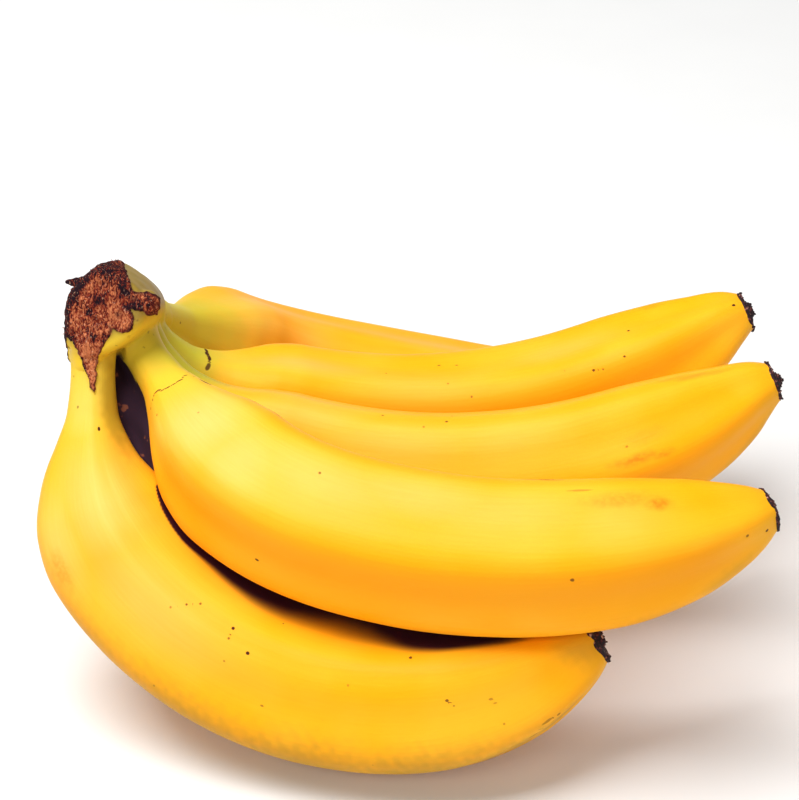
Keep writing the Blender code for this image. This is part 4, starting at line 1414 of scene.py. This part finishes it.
class BUNCH_OT_crown(bpy.types.Operator):
    """Grows the crown, its pedicel bases and the dried cut with its loose fibres"""
    bl_idname = "bunch.crown"
    bl_label = "Crown"

    def execute(self, context):
        sizes = context.scene.bunch_sizes
        fingers, _ = make_fingers()
        thing = link_object("crown_cushion", crown_core(fingers))
        mesh = make_one_skin(thing, sizes.crown_grain, fingers)
        points, normals = read_points(mesh), read_normals(mesh)
        height = crown_height(fingers, points)
        shade_sheath = shade_sheath_share(fingers, points, height)

        # The rim wanders by about half a millimetre, as a torn edge does.
        rim = (dry_cover(fingers, points, normals)
               + (0.3 * ripple_noise(points, 1.8 * MM, 11)
                  + 0.2 * ripple_noise(points, 0.8 * MM, 12)))
        dry = ease(rim / 0.5 + 0.5)
        lumps = ripple_noise(points, 2.6 * MM, 5)
        grain = ripple_noise(points, 0.9 * MM, 6)
        fine = ripple_noise(points, 0.55 * MM, 8)
        rough = dry * (sizes.crust + (0.34 * lumps + 0.2 * grain + 0.12 * fine) * MM)
        smooth_skin = (1 - dry) * 0.08 * lumps * MM
        # Over the pedicels the crust thins, so the flap lies close to the skin.
        thin = 0.45 + 0.55 * ease((height + 3.0) / 5.0)
        # The flap's bare margin sinks into the front pedicel, which shows its own skin.
        depth, reach = fingers[0].depth_share(points)
        above = (depth - 1) * reach / MM
        sunk = (1 - dry) * (1 - shade_sheath) * ease((-2.0 - height) / 3.0) * ease((2.4 - above) / 0.8)
        sink = -(above + 0.5) * MM * sunk
        points = points + normals * ((rough * thin + smooth_skin + sink)[:, None])
        write_points(mesh, points)

        # Skin near a finger has that finger's green.
        depths = np.stack([finger.depth_share(points)[0] for finger in fingers])
        weights = 1 / np.maximum(depths - 0.9, 0.02) ** 2
        greens = np.array([GREENED[finger.name][0] for finger in fingers])[:, None]
        layers = {
            "dry": dry, "edge": dry * ease(1 - rim / 1.1), "shade_sheath": shade_sheath,
            "tone": cut_tone(fingers, points, normals),
            "stem": np.maximum(ease((4.0 - height) / 6.0), ease((1.9 - depths.min(axis=0)) / 0.8)),
            "greened": (weights * (GREENEST * greens)).sum(axis=0) / weights.sum(axis=0),
        }
        for name, values in layers.items():
            put_values(mesh, name, values)
        mesh.materials.clear()
        mesh.materials.append(crown_material())

        loose = link_object("crown_loose_fibres", mesh.copy())
        # The lump at the right end is worn smooth.
        worn = points[:, 0] > fingers[0].line[0][0] + 11.8 * MM
        put_values(loose.data, "dry", np.where(worn, 0.0, dry))
        grow(loose, fibre_tree(), {
            "Fibres per square metre": FIBRES_PER_SQUARE_METRE, "Fibre length": FIBRE_LENGTH,
            "Seed": 4, "Fibre": fibre_material()})
        finish_piece(thing, ("crown",), angle=80)
        finish_piece(loose, ())
        return {"FINISHED"}


# Blossom ends


def flake_tree():
    """Geometry Nodes: ragged flakes of dried petal round the rim of a blossom end."""
    tree, given = start_tree("ring_of_flakes", (
        ("Rim", "Geometry"), ("Flake size", "Float"), ("Seed", "Int"),
        ("Dried", "Material")), "Flakes")
    rim = add_node(tree, "GeometryNodeInputNamedAttribute", {"Name": "rim"},
                   data_type="FLOAT").outputs[0]
    chance = add_node(tree, "FunctionNodeRandomValue", {2: 0.0, 3: 1.0, "Seed": given["Seed"]},
                      data_type="FLOAT").outputs[1]
    kept = add_node(tree, "ShaderNodeMath", {0: chance, 1: rim}, operation="LESS_THAN").outputs[0]
    normal = add_node(tree, "GeometryNodeInputNormal").outputs[0]
    facing = add_node(tree, "FunctionNodeAlignRotationToVector", {"Vector": normal},
                      axis="Z").outputs[0]
    flake = add_node(tree, "GeometryNodeMeshCone", {
        "Vertices": 5, "Radius Top": 0.22, "Radius Bottom": 0.55, "Depth": 0.6}).outputs[0]
    placed = strew(tree, {"Points": given["Rim"], "Selection": kept, "Instance": flake}, facing,
                   lean=0.7, sizes=(0.35, 1.0), size_seed=9, size=given["Flake size"],
                   seed=given["Seed"])
    both = add_node(tree, "GeometryNodeJoinGeometry")
    tree.links.new(given["Rim"], both.inputs[0])
    tree.links.new(placed, both.inputs[0])
    return end_tree(tree, both.outputs[0], given["Dried"])


class BUNCH_OT_blossoms(bpy.types.Operator):
    """Makes the dried blossom end at the tip of every finger"""
    bl_idname = "bunch.blossoms"
    bl_label = "Blossom ends"

    def execute(self, context):
        fingers, _ = make_fingers()
        tree = flake_tree()
        dried = blossom_material()
        angles = even_turns(BLOSSOM_SECTORS)
        rows = len(BLOSSOM_ROWS)
        # The row inside the finger hardly moves, so the end stays closed against it.
        free = np.repeat([0.2] + [1.0] * (rows - 1), BLOSSOM_SECTORS)
        flakes = np.repeat([share for _, _, share in BLOSSOM_ROWS], BLOSSOM_SECTORS)
        for number, finger in enumerate(fingers, 1):
            tip, ahead = finger.line[-1], finger.ahead[-1]
            scale = finger.radius[-1] / BLOSSOM_TIP_RADIUS
            round_way = (np.cos(angles)[:, None] * finger.inward[-1]
                         + np.sin(angles)[:, None] * finger.across[-1])
            points = np.concatenate([tip + (far * ahead + radius * scale * round_way) * MM
                                     for far, radius, _ in BLOSSOM_ROWS])
            bumps = (ripple_noise(points, 1.5 * MM, 20 + number) * 0.35
                     + ripple_noise(points, 0.6 * MM, 30 + number) * 0.15)
            outward = unit(points - tip + ahead * 2.0 * MM)
            points = points + outward * (bumps * free * MM)[:, None]
            mesh = mesh_from("blossom", points, faces=tube_faces(rows, BLOSSOM_SECTORS))
            turn_outwards(mesh)
            put_values(mesh, "rim", flakes * FLAKE_CHANCE)
            thing = link_object("dried_blossom_%d" % number, mesh)
            grow(thing, tree, {"Flake size": FLAKE_SIZE, "Seed": number, "Dried": dried})
            finish_piece(thing, ("blossom_end_%d" % number,), angle=60)
        return {"FINISHED"}


# Stage


# Soft lamps: name, place, size in metres, power in watts.
LAMPS = (("soft_top", (-0.36, -0.12, 1.15), (0.8, 0.8), 19.5),
         ("soft_front", (-0.5, -1.2, 0.9), (0.7, 0.5), 5.5),
         ("soft_right", (1.0, -0.8, 0.6), (0.6, 0.6), 3.2))
LIT_SPOT = (0.0, 0.0, 0.04)
AIR_LIGHT = 0.25
# The floor lies just under the bunch, so the two never share a plane.
FLOOR_DROP = 0.2 * MM


def aimed(way):
    """Rotation that turns a lamp or a camera to look that way."""
    return Vector(way).to_track_quat("-Z", "Y").to_euler()


class BUNCH_OT_stage(bpy.types.Operator):
    """Sets the floor, the soft lights and the camera"""
    bl_idname = "bunch.stage"
    bl_label = "Stage"

    def execute(self, context):
        scene = context.scene
        half = scene.bunch_sizes.floor / 2
        corners = [(x, y, -FLOOR_DROP) for x, y in
                   ((-half, -half), (half, -half), (half, half), (-half, half))]
        mesh = mesh_from("studio_floor", corners, faces=[(0, 1, 2, 3)])
        mesh.materials.append(floor_material())
        link_object("studio_floor", mesh)

        for name, spot, (wide, tall), power in LAMPS:
            lamp = bpy.data.lights.new(name, "AREA")
            lamp.shape = "RECTANGLE"
            lamp.size, lamp.size_y = wide, tall
            lamp.energy = power
            thing = link_object(name, lamp)
            thing.location = spot
            thing.rotation_euler = aimed(Vector(LIT_SPOT) - Vector(spot))

        scene.world = bpy.data.worlds.new("studio_air")
        scene.world.use_nodes = True
        air = scene.world.node_tree.nodes["Background"]
        air.inputs["Color"].default_value = (1.0, 1.0, 1.0, 1.0)
        air.inputs["Strength"].default_value = AIR_LIGHT

        _, shift = make_fingers()
        lens = bpy.data.cameras.new("photo_camera")
        lens.sensor_width = CAMERA_SENSOR
        lens.lens = CAMERA_LENS
        lens.clip_start, lens.clip_end = 0.02, 50.0
        camera = link_object("photo_camera", lens)
        camera.location = Vector(np.array(CAMERA_SPOT) * MM + shift)
        camera.rotation_euler = aimed(CAMERA_AHEAD)
        scene.camera = camera
        scene.view_settings.view_transform = "Standard"
        scene.view_settings.look = "None"
        scene.view_settings.exposure = 0.0
        scene.view_settings.gamma = 1.0
        return {"FINISHED"}


class BUNCH_PT_panel(bpy.types.Panel):
    """Lists the steps that make the bunch"""
    bl_idname = "BUNCH_PT_panel"
    bl_label = "Banana bunch"
    bl_space_type = "VIEW_3D"
    bl_region_type = "UI"
    bl_category = "Bunch"

    def draw(self, context):
        column = self.layout.column()
        for step in STEPS:
            column.operator(step.bl_idname)
        for group in (context.scene.bunch_sizes, context.scene.bunch_colours):
            for name in group.__annotations__:
                column.prop(group, name)


STEPS = (BUNCH_OT_fingers, BUNCH_OT_crown, BUNCH_OT_blossoms, BUNCH_OT_stage)
CLASSES = (BunchSizes, BunchColours, *STEPS, BUNCH_PT_panel)


def register():
    for item in CLASSES:
        bpy.utils.register_class(item)
    bpy.types.Scene.bunch_sizes = PointerProperty(type=BunchSizes)
    bpy.types.Scene.bunch_colours = PointerProperty(type=BunchColours)


def unregister():
    del bpy.types.Scene.bunch_sizes
    del bpy.types.Scene.bunch_colours
    for item in reversed(CLASSES):
        bpy.utils.unregister_class(item)


def main():
    register()
    bpy.ops.bunch.fingers()
    bpy.ops.bunch.crown()
    bpy.ops.bunch.blossoms()
    bpy.ops.bunch.stage()


if __name__ == "__main__":
    main()
